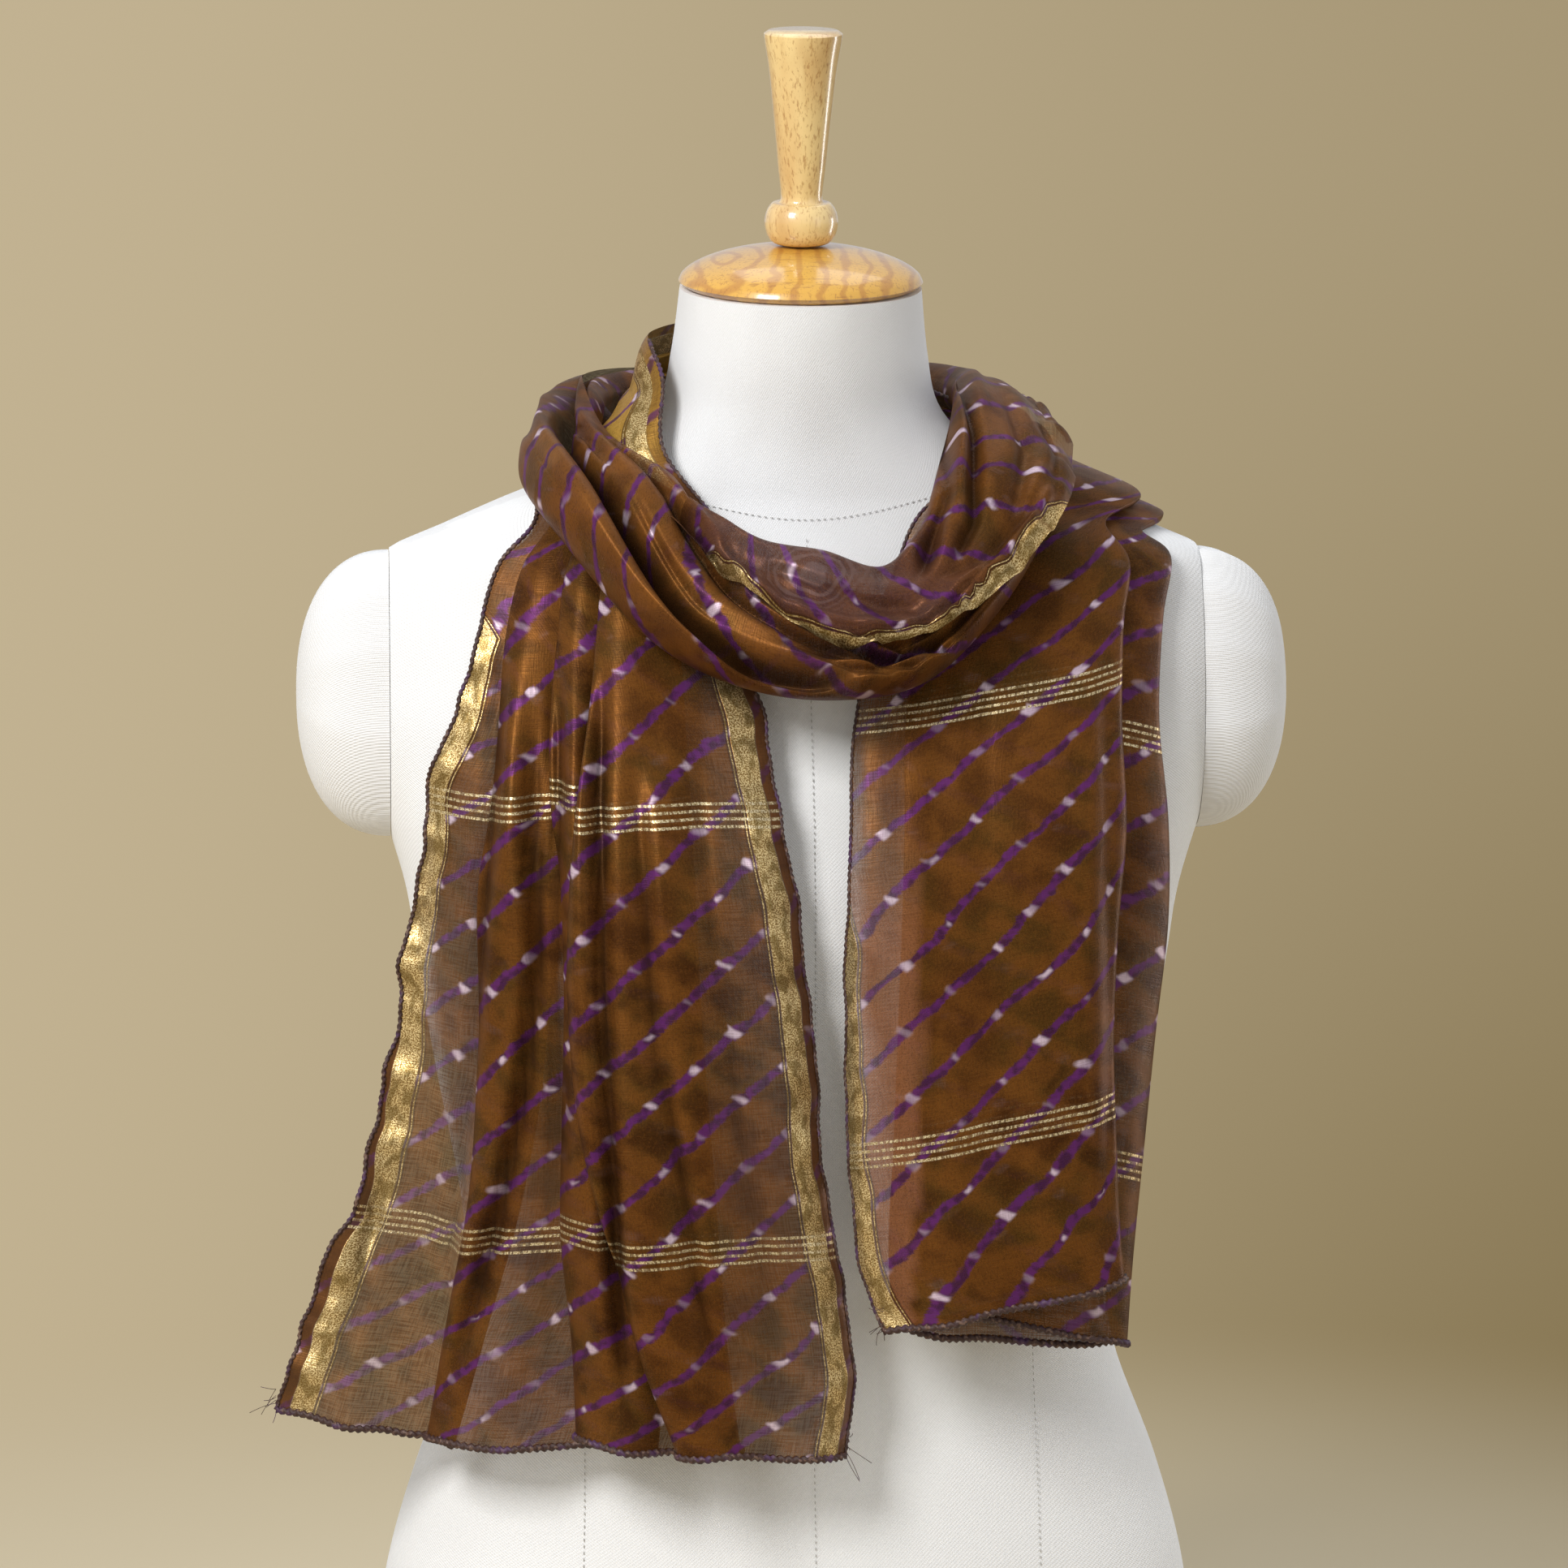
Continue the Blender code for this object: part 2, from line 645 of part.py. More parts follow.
def cutter(side, collection):
    bpy.ops.mesh.primitive_cube_add(size=1.0)
    box = bpy.context.object
    box.name = "armhole_cutter_" + ("left" if side < 0 else "right")
    for old in box.users_collection:
        old.objects.unlink(box)
    collection.objects.link(box)
    box.scale = (0.1, 0.5, 0.4)
    box.location = (side * (ARMHOLE_X + 0.05), 0.0, 0.55)
    box.hide_render = True
    box.display_type = "WIRE"
    return box


def shoulder_cap(side, material, collection):
    """A domed cap on the armhole's outline."""
    outline = armhole_outline(side)
    n = len(outline)
    cy = sum(p[0] for p in outline) / n
    cz = sum(p[1] for p in outline) / n
    points, faces = [], []
    for level in CAP_LEVELS:
        shrink = (1.0 - level ** CAP_POWER) ** (1 / CAP_POWER)
        x = side * (ARMHOLE_X + SEAM_GAP + CAP_REACH * level)
        for y, z in outline:
            points.append((x, cy + (y - cy) * shrink, cz + (z - cz) * shrink))
    tip = len(points)
    points.append((side * (ARMHOLE_X + SEAM_GAP + CAP_REACH), cy, cz))
    rows = len(CAP_LEVELS)
    for r in range(rows - 1):
        for i in range(n):
            j = (i + 1) % n
            faces.append((r * n + i, r * n + j, (r + 1) * n + j, (r + 1) * n + i))
    for i in range(n):
        faces.append(((rows - 1) * n + i, (rows - 1) * n + (i + 1) % n, tip))
    faces.append(tuple(reversed(range(n))))
    if side > 0:
        faces = [tuple(reversed(face)) for face in faces]
    name = "form_cap_left" if side < 0 else "form_cap_right"
    return add_object(name, points, faces, material, collection)


def turned(name, profile, steps, base, tilt, material, collection):
    """A turned piece: profile (radius, height) runs top to bottom on its outer side."""
    points = [(r, 0.0, h) for r, h in profile]
    edges = [(i, i + 1) for i in range(len(points) - 1)]
    mesh = bpy.data.meshes.new(name)
    mesh.from_pydata(points, edges, [])
    mesh.materials.append(material)
    thing = bpy.data.objects.new(name, mesh)
    collection.objects.link(thing)
    screw = thing.modifiers.new("turn", "SCREW")
    screw.axis = "Z"
    screw.steps = steps
    screw.render_steps = steps
    screw.use_merge_vertices = True
    screw.merge_threshold = 0.00005
    screw.use_smooth_shade = True
    thing.location = base
    thing.rotation_euler = (tilt, 0.0, 0.0)
    return thing


def cap_profile():
    """The lens of the neck cap, from its top middle down and under."""
    points = [(0.0, CAP_TOP)]
    for i in range(1, 8):
        turn = math.pi / 2 * i / 8
        rise = (CAP_TOP - CAP_RIM) * math.cos(turn) ** 1.15
        points.append((CAP_RADIUS * math.sin(turn), CAP_RIM + rise))
    points += [(CAP_RADIUS, CAP_RIM), (CAP_RADIUS - 0.0015, 0.0015), (CAP_RADIUS - 0.004, 0.0)]
    points.append((0.0, 0.0))
    return points


def handle_profile():
    """Ball and tapered handle, from the top middle down."""
    base = CAP_TOP + SEAM_GAP
    shoulder = HANDLE_TOP - 0.0015
    points = [(0.0, HANDLE_TOP), (HANDLE_RADIUS - 0.002, HANDLE_TOP), (HANDLE_RADIUS, shoulder)]
    for i in range(1, 6):
        radius = mix(HANDLE_RADIUS, HANDLE_WAIST, (i / 5) ** 0.8)
        points.append((radius, mix(shoulder, base + BALL_HEIGHT + 0.0005, i / 5)))
    for i in range(1, 6):
        turn = math.pi * i / 6
        radius = mix(HANDLE_FOOT, BALL_RADIUS, math.sin(turn))
        points.append((radius, base + BALL_HEIGHT / 2 * (1 + math.cos(turn))))
    points += [(HANDLE_FOOT, base), (0.0, base)]
    return points


# ---------------------------------------------------------------- build
def main():
    for thing in list(bpy.data.objects):
        bpy.data.objects.remove(thing)
    parts = bpy.data.collections.new("dupatta_stole_on_form")
    cutters = bpy.data.collections.new("cutters")
    bpy.context.scene.collection.children.link(parts)
    bpy.context.scene.collection.children.link(cutters)
    canvas = principled("canvas")
    wood = principled("wood")
    stole = principled("stole")

    body = torso(canvas, parts)
    for side in (-1, 1):
        cut = body.modifiers.new("armhole", "BOOLEAN")
        cut.operation = "DIFFERENCE"
        cut.object = cutter(side, cutters)
        shoulder_cap(side, canvas, parts)

    top_x, top_y = form_centre(NECK_TOP)
    seat = (top_x, top_y, NECK_TOP + SEAM_GAP)
    turned("neck_cap", cap_profile(), 28, seat, NECK_TILT, wood, parts)
    turned("handle", handle_profile(), 20, seat, NECK_TILT, wood, parts)

    left = left_rows(1)
    low = len(LEFT_ROWS) - 1
    left = left[:low] + refine_rows(left, 2)[2 * low:]
    fall, strand = split_rows(left, low + 7, SEAM_GAP)
    cloth("left_fall", fall, stole, parts)
    cloth("neck_strand", strand, stole, parts)
    right = right_rows(1)
    low = len(RIGHT_ROWS) - 1
    cloth("right_fall", right[:low] + refine_rows(right, 2)[2 * low:], stole, parts)

    ring = refine_rows(loop_rows(1), 2, closed=True)
    back = 2 * LOOP_BACK_ROWS
    turned_ring = ring[back:] + ring[:back + 1]
    front, rear = split_rows(turned_ring, len(ring) - 2 * back, LOOP_PART)
    rear[-1] = shorten(rear[-1], rear[-2], LOOP_PART / 2)
    front[0] = shorten(front[0], front[1], LOOP_PART / 2)
    cloth("front_loop", front, stole, parts)
    cloth("back_loop", rear, stole, parts)


main()
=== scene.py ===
"""Looks of the folded dupatta stole on its dress form: cloth, trim, form, light and camera."""
import math

import bmesh
import bpy
import numpy as np
from mathutils import Matrix, Vector


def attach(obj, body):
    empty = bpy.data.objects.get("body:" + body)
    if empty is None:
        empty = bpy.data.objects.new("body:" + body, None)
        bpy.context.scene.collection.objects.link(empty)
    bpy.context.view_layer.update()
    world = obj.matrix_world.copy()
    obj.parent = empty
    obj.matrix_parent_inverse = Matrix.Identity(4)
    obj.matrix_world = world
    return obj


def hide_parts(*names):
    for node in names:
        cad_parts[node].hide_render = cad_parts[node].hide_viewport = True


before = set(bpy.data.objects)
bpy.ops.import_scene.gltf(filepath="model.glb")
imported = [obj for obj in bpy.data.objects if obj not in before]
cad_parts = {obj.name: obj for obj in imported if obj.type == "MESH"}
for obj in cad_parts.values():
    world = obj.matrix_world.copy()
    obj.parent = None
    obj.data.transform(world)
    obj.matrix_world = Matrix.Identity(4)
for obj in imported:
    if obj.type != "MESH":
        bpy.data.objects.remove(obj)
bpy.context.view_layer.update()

MM = 0.001

# ---------------------------------------------------------------- driving sizes
WALL = 0.0012            # cloth wall
SEAM_GAP = 0.0003        # between pieces that meet
CLEAR = 0.0022           # from the form to the nearest cloth
LAYER = 0.0042           # from one folded layer to the next in the hanging ends
LAYER_SLOPE = 70.0       # how fast a layer comes down beside what it lies on, layers a metre
FOLD_REACH = 0.004       # how far before a fold edge the cloth starts to turn,
FOLD_SHARE = 0.15        # and no more than this share of its leg
FOLD_BULGE = 2.2         # swell beside a fold edge that shows, in layers,
BULGE_PARTS = (0.5, 1.0, 0.3)   # and its share at the first stops after the edge
HANG_EDGE = 0.180        # past this x the hanging cloth turns back less than the form,
HANG_ROUND = 0.25        # by this share of the distance,
HANG_LAST = 0.005        # and no further than this
HANG_TOP = 0.66          # height from which the hanging cloth falls, and the step down
HANG_STEP = 0.012        # in which its front is found
WRAP_WIDTH = 0.110       # width that the ends are gathered to where they lie on the form
HEM_FADE = (1.0, 0.55, 0.15)   # how the shape of a hem dies out over the lowest rows
LEFT_TURNS = (0, 2, 1, 4, 3, 6, 5, 7)   # order in which the left end meets its columns

NECK_TOP = 0.757         # top of the neck's canvas, on its centre line
NECK_TILT = math.radians(8.0)
NECK_BEND = 0.655        # the neck leans forward above this height
NECK_LEAN = 0.169        # and by this much, metres per metre
LEAN = 0.010             # sideways lean of the whole form, metres per metre
LEAN_FROM = 0.52
ARMHOLE_X = 0.200        # the two flat armhole faces
ARMHOLE_SPAN = (0.487, 0.627)   # heights between which the form is wider than that
ARMHOLE_FLOOR = 0.40     # the armholes are cut only above this: the hips are as wide
CAP_REACH = 0.046        # how far a shoulder cap stands out from its armhole
CAP_POWER = 2.3          # roundness of its dome

CAP_RADIUS = 0.0600      # turned wooden neck cap
CAP_RIM = 0.0030         # height of the cap's widest ring above the canvas
CAP_TOP = 0.0205         # height of the cap's dome
BALL_RADIUS = 0.0180     # ball that the handle stands on
BALL_HEIGHT = 0.0220
HANDLE_RADIUS = 0.0192   # turned handle, at its top
HANDLE_WAIST = 0.0102    # and just above the ball
HANDLE_FOOT = 0.0105     # radius of the ball's flat foot
HANDLE_TOP = 0.1255      # height of the handle above the neck's canvas

FORM_STEP = 0.0040       # spacing of the form's fine rings
ROW_STEP = 0.0028        # spacing of the fine rows of the hanging ends
LOOP_STEP = 0.0022       # and of the loop
FALL_SAMPLES = 6         # points to each stop of a folded section
LOOP_SAMPLES = 8
EDGING_STEP = 0.0006     # spacing of the points of an edging
STRAND_SWELL = 0.32      # how much the two strands of a cord stand out, as a share of its radius
SHARP_GAP = 0.003        # shorter gaps of a turned profile stay straight
STITCH_STEP = 0.0004     # a seam's points; a stitch is this many steps long, and
STITCH_LENGTH = 4
STITCH_PITCH = 8         # this many steps from the next
STITCH_RADIUS = 0.00028
SEAM_PROUD = 0.0012      # how far a seam's line lies off the canvas
SEAM_FOOT = 6            # height at which the panel seams start, mm
HAIR_RADIUS = 0.00016    # frayed hairs at the hem's corners
LOOSE_RADIUS = 0.00022   # the loose yellow thread, and the row and column where it starts
LOOSE_FROM = (116, 44)
STRAND_FROM = 0.012      # the left end's rows that lie further back are the neck strand
HEM_WAVE = 0.0016        # height of a free hem's waves,
HEM_REACH = 0.045        # which die out upwards by this much
TWILL, CROSS_TWILL = 0.00125, 0.0019   # spacing of the canvas's ribs
SEAMS = (
    # x at the base and at the top, height of the top, mm; 1 on the front and -1 on the back
    (4, 1, 640, 1),
    (4, 1, 640, -1),
    (-112, -100, 560, 1),
    (118, 106, 560, 1),
    (-112, -100, 560, -1),
    (118, 106, 560, -1),
)

# Horizontal rings of the form, mm: height, half width, depth to the front, to the back,
# and the exponent of the ring's outline (2 is an ellipse, more is squarer).
FORM_RINGS = (
    # z, half, front, back, power
    (0, 196, 104, 112, 2.2),
    (12, 202, 108, 116, 2.2),
    (60, 206, 111, 118, 2.2),
    (115, 201, 110, 115, 2.2),
    (170, 186, 104, 105, 2.2),
    (225, 165, 96, 94, 2.2),
    (262, 160, 94, 90, 2.2),
    (310, 165, 98, 92, 2.2),
    (365, 176, 110, 97, 2.3),
    (420, 186, 121, 103, 2.4),
    (460, 192, 123, 107, 2.4),
    (500, 204, 117, 111, 2.3),
    (540, 216, 106, 114, 2.2),
    (580, 220, 94, 112, 2.1),
    (608, 216, 85, 104, 2.0),
    (627, 204, 78, 94, 2.0),
    (640, 176, 73, 87, 2.0),
    (654, 144, 69, 80, 2.0),
    (668, 109, 66, 74, 2.0),
    (682, 85, 64, 70, 2.0),
    (700, 69, 63, 67, 2.0),
    (726, 63, 62, 63, 2.0),
    (757, 59.4, 59.4, 59.4, 2.0),
)

# Left end, from its hem up to the shoulder, mm.  The cloth runs from its outer edge to
# hidden fold r1, back to fold edge l1, to r2, back to l2, to r3, back to l3, to its inner
# edge.  pack is how far apart the layers lie, as a share of LAYER; flute is the height of
# the soft waves that the whole end hangs in, in mm.
LEFT_ROWS = (
    # z_out, z_in, outer, l1, r1, l2, r2, l3, r3, inner, pack, flute
    (212, 202, -259, -175, -166, -108, -72, -62, -34, 15, 1.10, 12.0),
    (255, 250, -245, -166, -152, -109, -68, -76, -40, 19, 1.10, 10.0),
    (312, 306, -221, -155, -138, -113, -66, -89, -44, 9, 1.05, 8.0),
    (368, 362, -204, -152, -128, -113, -64, -100, -48, 2, 1.00, 6.0),
    (424, 420, -195, -153, -122, -111, -62, -105, -52, -2, 0.95, 4.5),
    (470, 468, -186, -153, -114, -113, -64, -105, -54, -9, 0.90, 3.5),
    (512, 510, -180, -149, -108, -118, -66, -103, -56, -15, 0.85, 2.5),
    (552, 552, -168, -146, -104, -119, -70, -100, -58, -23, 0.78, 1.0),
    (592, 588, -156, -142, -102, -116, -72, -97, -60, -30, 0.66, 0.5),
    (624, 618, -146, -134, -99, -112, -74, -94, -62, -38, 0.56, 0.0),
)
# Height of the left hem at each turn of the cloth, mm, from the outer edge inwards.
LEFT_HEM = (210, 195, 200, 202, 208, 201, 204, 200)

# Right end, mm.  The cloth runs from its front edge to fold f1, back to f2, to f3, back to
# f4 and on to its hidden edge; the front edge lies outermost.
RIGHT_ROWS = (
    # z_in, z_out, front, f1, f2, f3, f4, hidden, pack, flute
    (262, 272, 32, 133, 45, 144, 38, 112, 1.10, 10.0),
    (300, 304, 20, 132, 46, 149, 36, 116, 1.10, 8.0),
    (346, 348, 17, 131, 48, 157, 38, 119, 1.10, 6.5),
    (398, 398, 15, 132, 50, 164, 40, 122, 1.05, 5.0),
    (450, 450, 16, 135, 49, 170, 42, 125, 1.00, 4.0),
    (500, 500, 18, 141, 49, 170, 44, 127, 0.95, 3.0),
    (550, 550, 21, 143, 50, 168, 46, 129, 0.85, 2.0),
    (592, 596, 31, 147, 56, 173, 52, 134, 0.75, 0.5),
    (622, 626, 42, 152, 64, 180, 60, 140, 0.66, 0.0),
)
RIGHT_HEM = (262, 283, 269, 246, 262, 268)

# Rows that lie on the form where an end climbs over the shoulder and round the neck: angle
# round the neck from the front, in degrees, and height, in mm, of the row's outer and inner
# edge, and how tightly the layers are packed.
LEFT_WRAP = (
    # a_out, z_out, a_in, z_in, pack
    (70, 642, 32, 642, 0.50),
    (84, 660, 52, 674, 0.50),
    (94, 668, 63, 711, 0.50),
    (108, 671, 80, 727, 0.50),
    (126, 672, 104, 733, 0.50),
    (150, 673, 140, 736, 0.50),
    (180, 675, 180, 734, 0.50),
    (202, 676, 202, 722, 0.50),
    (220, 678, 220, 704, 0.50),
)
RIGHT_WRAP = (
    (-77, 633, -38, 645, 0.66),
    (-90, 638, -58, 664, 0.65),
    (-101, 644, -78, 680, 0.64),
    (-114, 653, -98, 690, 0.62),
    (-131, 664, -122, 702, 0.58),
)

# The loop, mm: the bottom outer contour, the top inner rim, the bundle's depth, how far down
# the flap with the cloth's edge reaches, and how deep the flap's own ribs are.
LOOP_ROWS = (
    # out x, y, z, rim x, y, z, depth, flap, rib, folds
    (-10, 112, 664, -4, 92, 712, 18, 0.34, 0.05, 1.0),
    (-56, 104, 668, -42, 84, 716, 18, 0.30, 0.04, 1.0),
    (-96, 75, 678, -75, 61, 714, 20, 0.24, 0.02, 1.0),
    (-122, 35, 690, -95, 28, 714, 22, 0.20, 0.00, 0.9),
    (-135, -12, 695, -97, -8, 713, 24, 0.16, 0.00, 0.7),
    (-138, -61, 680, -83, -49, 706, 28, 0.12, 0.00, 0.5),
    (-120, -108, 647, -58, -84, 677, 34, 0.14, 0.00, 0.4),
    (-81, -137, 600, -41, -108, 643, 40, 0.36, 0.02, 0.5),
    (-40, -152, 576, -20, -121, 631, 40, 0.46, 0.03, 0.7),
    (8, -158, 568, 4, -127, 629, 40, 0.70, 0.04, 0.9),
    (54, -152, 578, 30, -123, 618, 38, 0.79, 0.05, 1.0),
    (94, -132, 612, 52, -109, 634, 36, 1.02, 0.06, 1.0),
    (124, -101.6, 644.6, 65, -83.6, 669.6, 30, 1.07, 0.08, 0.8),
    (135, -61, 673, 75, -49, 701, 24, 1.08, 0.10, 0.8),
    (129, -12, 693, 82, -7, 716, 20, 1.04, 0.12, 0.9),
    (112, 39, 690, 83, 33, 718, 20, 0.80, 0.12, 1.0),
    (80, 78, 679, 64, 65, 719, 20, 0.52, 0.10, 1.0),
    (38, 106, 667, 32, 86, 715, 18, 0.40, 0.06, 1.0),
)
LOOP_BACK_ROWS = 3       # the back stretch takes this many rows each side of the first row

# Stops of the loop's section: a runs from the rim (0) to the bottom contour (1) and d from
# the inside of the bundle (0) to its outside (1).  Ridges and valleys follow the bottom turn.
LOOP_FOLDS = (
    # a, d
    (0.95, 0.86),
    (0.85, 0.66),
    (0.75, 0.98),
    (0.63, 0.74),
    (0.52, 1.00),
    (0.41, 0.76),
    (0.30, 0.96),
    (0.16, 0.70),
)
# The flap that carries the cloth's edge: a as a share of the flap, and how its ribs lift.
FLAP_RIBS = (
    # a, lift
    (1.00, 0.0),
    (0.84, 1.0),
    (0.64, -1.0),
    (0.44, 1.0),
    (0.24, -0.6),
    (0.10, 0.3),
)
FLAP_DEPTH = 1.12        # d of the flap, outside the folds
LOOP_TURN = (
    # a, d
    (-0.02, 0.80),
    (-0.03, 0.48),
    (0.02, 0.16),
    (0.12, 0.03),
    (0.50, 0.00),
    (0.88, 0.04),
    (1.01, 0.30),
)
LOOP_END = 0.99          # no fold passes this a
LOOP_SLIDE = 0.10        # how far the folds wander round the ring, as a share of its width,
LOOP_SLIDE_ROW = 6       # starting from this row
RIB_PRESS = 1.4          # how much the flap's ribs press the folds in
FLAP_ROUND = 0.86        # past this a the flap comes down round the folds,
FLAP_FALL = 1.6          # by this much d for each a
FOLD_LEVEL = 0.86        # d that the folds fade to where they are shallow
FLAP_STOP = 6.2          # the section's stops before this are the flap's,
FOLDS_STOP = 12.0        # and those after this are the folds'
RIDGE_FADE = 0.7         # rows over which a ridge of the loop comes up and dies out
LOOP_START = 0.75        # place of the loop's first row along the flat cloth
# Between which rows of the loop its edge puckers, its flap looks plum and its crests get a
# painted highlight, and over how many rows that comes and goes.
PUCKER_ROWS = (6.6, 15.0, 1.0, 1.5)
PLUM_ROWS = (6.4, 11.5, 0.8, 1.5)
LIT_ROWS = (4.2, 11.0, 1.2, 2.0)
PUCKER_REACH = 0.036     # how far in from the edge
# Painted shade in the pocket left of the neck: its row and place a, and how far it reaches either way.
POCKET_SHADE = (4.0, 0.22, 0.60, 0.15)
RUFFLE_REACH = 0.034     # how far in the gold borders of the hanging ends ruffle the cloth,
RUFFLE_TOP = 0.660       # and up to which height
CREASE_TOP = 0.640       # height at which the creases have died out
HOLLOW_DEPTH = 0.008     # a crease this deep is fully shaded
# The left end's ochre is its dye, painted brighter as if lit, from this height up.
OCHRE_FROM = 0.475       # the left end turns ochre this far up from its hem
# Where that front layer hangs alone it is painted lighter, as if lit canvas shone through it, and is a little
# more see-through.
LONE_TOP = 0.54          # below this the right end's front layer hangs alone

# Waves, as pairs of length in m and height in mm or as a share.
TURN_WAVES = ((0.061, 0.8), (0.037, 0.5))
EDGE_OUT = ((0.052, 1.5), (0.031, 1.1), (0.017, 0.55), (0.011, 0.25))
EDGE_ALONG = ((0.085, 1.7), (0.047, 1.0), (0.023, 0.5))
HEM_OUT = ((0.048, 1.0), (0.027, 0.5))
HEM_DROP = ((0.070, 1.0), (0.034, 0.6))
LOOP_PUCKER = ((0.046, 1.3), (0.029, 1.1), (0.016, 0.9), (0.010, 0.45))

# Which legs of an end show, from its first edge.
LEFT_SEEN = (1, 0, 1, 0, 1, 0, 1)
RIGHT_SEEN = (1, 0, 0, 0, 0)

# Creases of the front, seen from the front: how deep the valley is and how wide one side of
# it, in mm; side 1 puts the ridge on the left of the line's way, -1 on its right.
LOOP_CREASES = (
    (5.5, 5, -1, ((-36, 622), (-5, 602), (30, 584), (66, 580))),
    (5.0, 5, -1, ((-22, 598), (16, 582), (52, 576))),
    (4.4, 4, -1, ((0, 608), (40, 589), (80, 590), (104, 606))),
    (7.5, 9, -1, ((66, 726), (69, 696), (66, 664), (52, 630), (44, 618))),
    (7.0, 8, -1, ((82, 722), (82, 690), (77, 650), (62, 626))),
    (3.0, 8, 1, ((100, 712), (106, 680), (97, 650), (78, 630))),
    (3.6, 7, -1, ((52, 622), (80, 632), (100, 648), (122, 676))),
    (2.4, 6, 1, ((-30, 632), (0, 622), (30, 610), (60, 610))),
    (2.2, 6, -1, ((112, 700), (122, 680), (118, 656), (98, 632))),
)
# Ridges (+) and valleys (-) that run round the loop: height in mm, width as a share of the
# section, then their way: row of the loop and place a on the section (0 rim, 1 bottom).
LOOP_RIDGES = (
    (9.0, 0.16, ((1.6, 0.20), (2.6, 0.22), (3.2, 0.30), (3.8, 0.46), (4.4, 0.60), (5.0, 0.70), (5.8, 0.80),
                 (6.6, 0.90), (7.4, 0.97), (8.2, 1.00))),
    (-20.0, 0.070, ((3.0, 0.04), (3.8, 0.20), (4.4, 0.34), (5.0, 0.45), (5.8, 0.56), (6.6, 0.68), (7.3, 0.80),
                    (8.2, 0.92), (9.4, 0.99))),
    (-10.0, 0.11, ((3.2, 0.08), (3.8, 0.18), (4.4, 0.30), (5.2, 0.44))),
    (5.0, 0.14, ((4.2, 0.14), (5.0, 0.22), (5.8, 0.32), (6.6, 0.44), (7.3, 0.56), (8.2, 0.68), (9.2, 0.80))),
    (-5.0, 0.030, ((4.0, 0.22), (4.5, 0.24), (5.2, 0.30), (6.0, 0.42))),
    (-9.0, 0.045, ((5.0, 0.10), (5.6, 0.12), (6.3, 0.17), (7.0, 0.30), (7.7, 0.46), (8.5, 0.62), (9.4, 0.76),
                   (10.4, 0.86))),
    (3.0, 0.05, ((5.8, 0.04), (6.5, 0.08), (7.1, 0.20), (7.8, 0.36), (8.6, 0.52), (9.6, 0.66), (10.6, 0.78))),
    (-4.0, 0.030, ((5.0, 0.86), (5.8, 0.91), (6.6, 0.97))),
    (-4.0, 0.028, ((6.0, 0.42), (6.6, 0.52), (7.3, 0.66), (8.0, 0.76))),
    (-5.0, 0.028, ((8.4, 0.70), (9.4, 0.80), (10.4, 0.86), (11.4, 0.90))),
    (-5.0, 0.028, ((9.0, 0.64), (10.0, 0.73), (11.0, 0.81), (12.0, 0.88))),
    (-4.0, 0.026, ((9.6, 0.92), (10.4, 0.95), (11.2, 0.96), (12.4, 0.95))),
    # Behind the neck, from the right shoulder round to the left.
    (-6.0, 0.034, ((14.0, 0.60), (15.2, 0.50), (16.6, 0.45), (18.2, 0.50), (19.6, 0.60), (20.4, 0.66))),
    (-4.5, 0.028, ((14.8, 0.28), (16.0, 0.22), (17.3, 0.30), (18.6, 0.27), (20.2, 0.16))),
    (4.0, 0.070, ((15.0, 0.38), (16.4, 0.34), (18.0, 0.40), (19.8, 0.44))),
    (-4.0, 0.026, ((16.4, 0.82), (17.3, 0.73), (18.6, 0.77), (19.6, 0.88))),
    (-3.0, 0.022, ((13.2, 0.82), (14.4, 0.76), (15.6, 0.80), (16.6, 0.90))),
)
# The loop as it is dressed: left of the neck its edge is tucked in, its inner side lower.
LOOP_LOOK = (
    # tuck, calm, then shifts in mm: rim in x and z, outer contour in x and z
    (0.0, 1.0, 0, 0, 0, 0),
    (0.3, 1.0, 0, 0, 0, 0),
    (0.8, 0.8, 0, -3, 2, -12),
    (1.0, 0.5, 0, -6, 6, -20),
    (1.0, 0.3, -2, -10, 8, -20),
    (1.0, 0.2, -12, -28, 0, -8),
    (1.0, 0.2, -9, -19, 0, 0),
    (0.0, 0.3, 0, -5, 0, 0),
    (0.0, 0.4, 0, 0, 0, 0),
    (0.0, 0.6, 0, 0, 0, 0),
    (0.0, 0.7, 0, 0, 0, 0),
    (0.0, 0.7, 0, 0, -3, 0),
    (0.0, 0.8, 0, 0, -8, 0),
    (0.0, 1.0, 0, -6, -9, -6),
    (0.0, 1.0, -2, -10, -6, -8),
    (0.0, 1.0, -3, -10, -4, -6),
    (0.0, 1.0, 0, -6, 0, -4),
    (0.0, 1.0, 0, -3, 0, 0),
)
LEFT_CREASES = (
    (6.0, 7, 1, ((-143, 600), (-150, 540), (-156, 470), (-161, 400), (-170, 320), (-180, 230))),
    (8.0, 8, -1, ((-131, 560), (-133, 500), (-131, 440), (-137, 380), (-149, 320), (-168, 250), (-177, 212))),
    (6.0, 7, 1, ((-120, 590), (-121, 520), (-123, 440), (-121, 360), (-122, 300))),
    (9.0, 8, -1, ((-99, 590), (-103, 520), (-102, 440), (-99, 360), (-95, 290), (-88, 215))),
    (7.0, 8, 1, ((-86, 545), (-82, 470), (-74, 390), (-60, 310), (-46, 230))),
    (3.6, 10, -1, ((-60, 560), (-54, 480), (-40, 380), (-22, 280), (-14, 220))),
    (3.0, 8, 1, ((-38, 520), (-30, 440), (-20, 360))),
    (3.6, 10, 1, ((-205, 330), (-218, 270), (-232, 215))),
)
RIGHT_CREASES = (
    (1.8, 8, 1, ((46, 600), (42, 520), (38, 430), (36, 340))),
    (1.6, 10, -1, ((84, 600), (80, 520), (84, 420), (80, 320))),
    (1.8, 9, 1, ((120, 600), (124, 520), (118, 430), (124, 330))),
    (1.4, 8, -1, ((144, 590), (141, 500), (143, 400), (140, 300))),
)
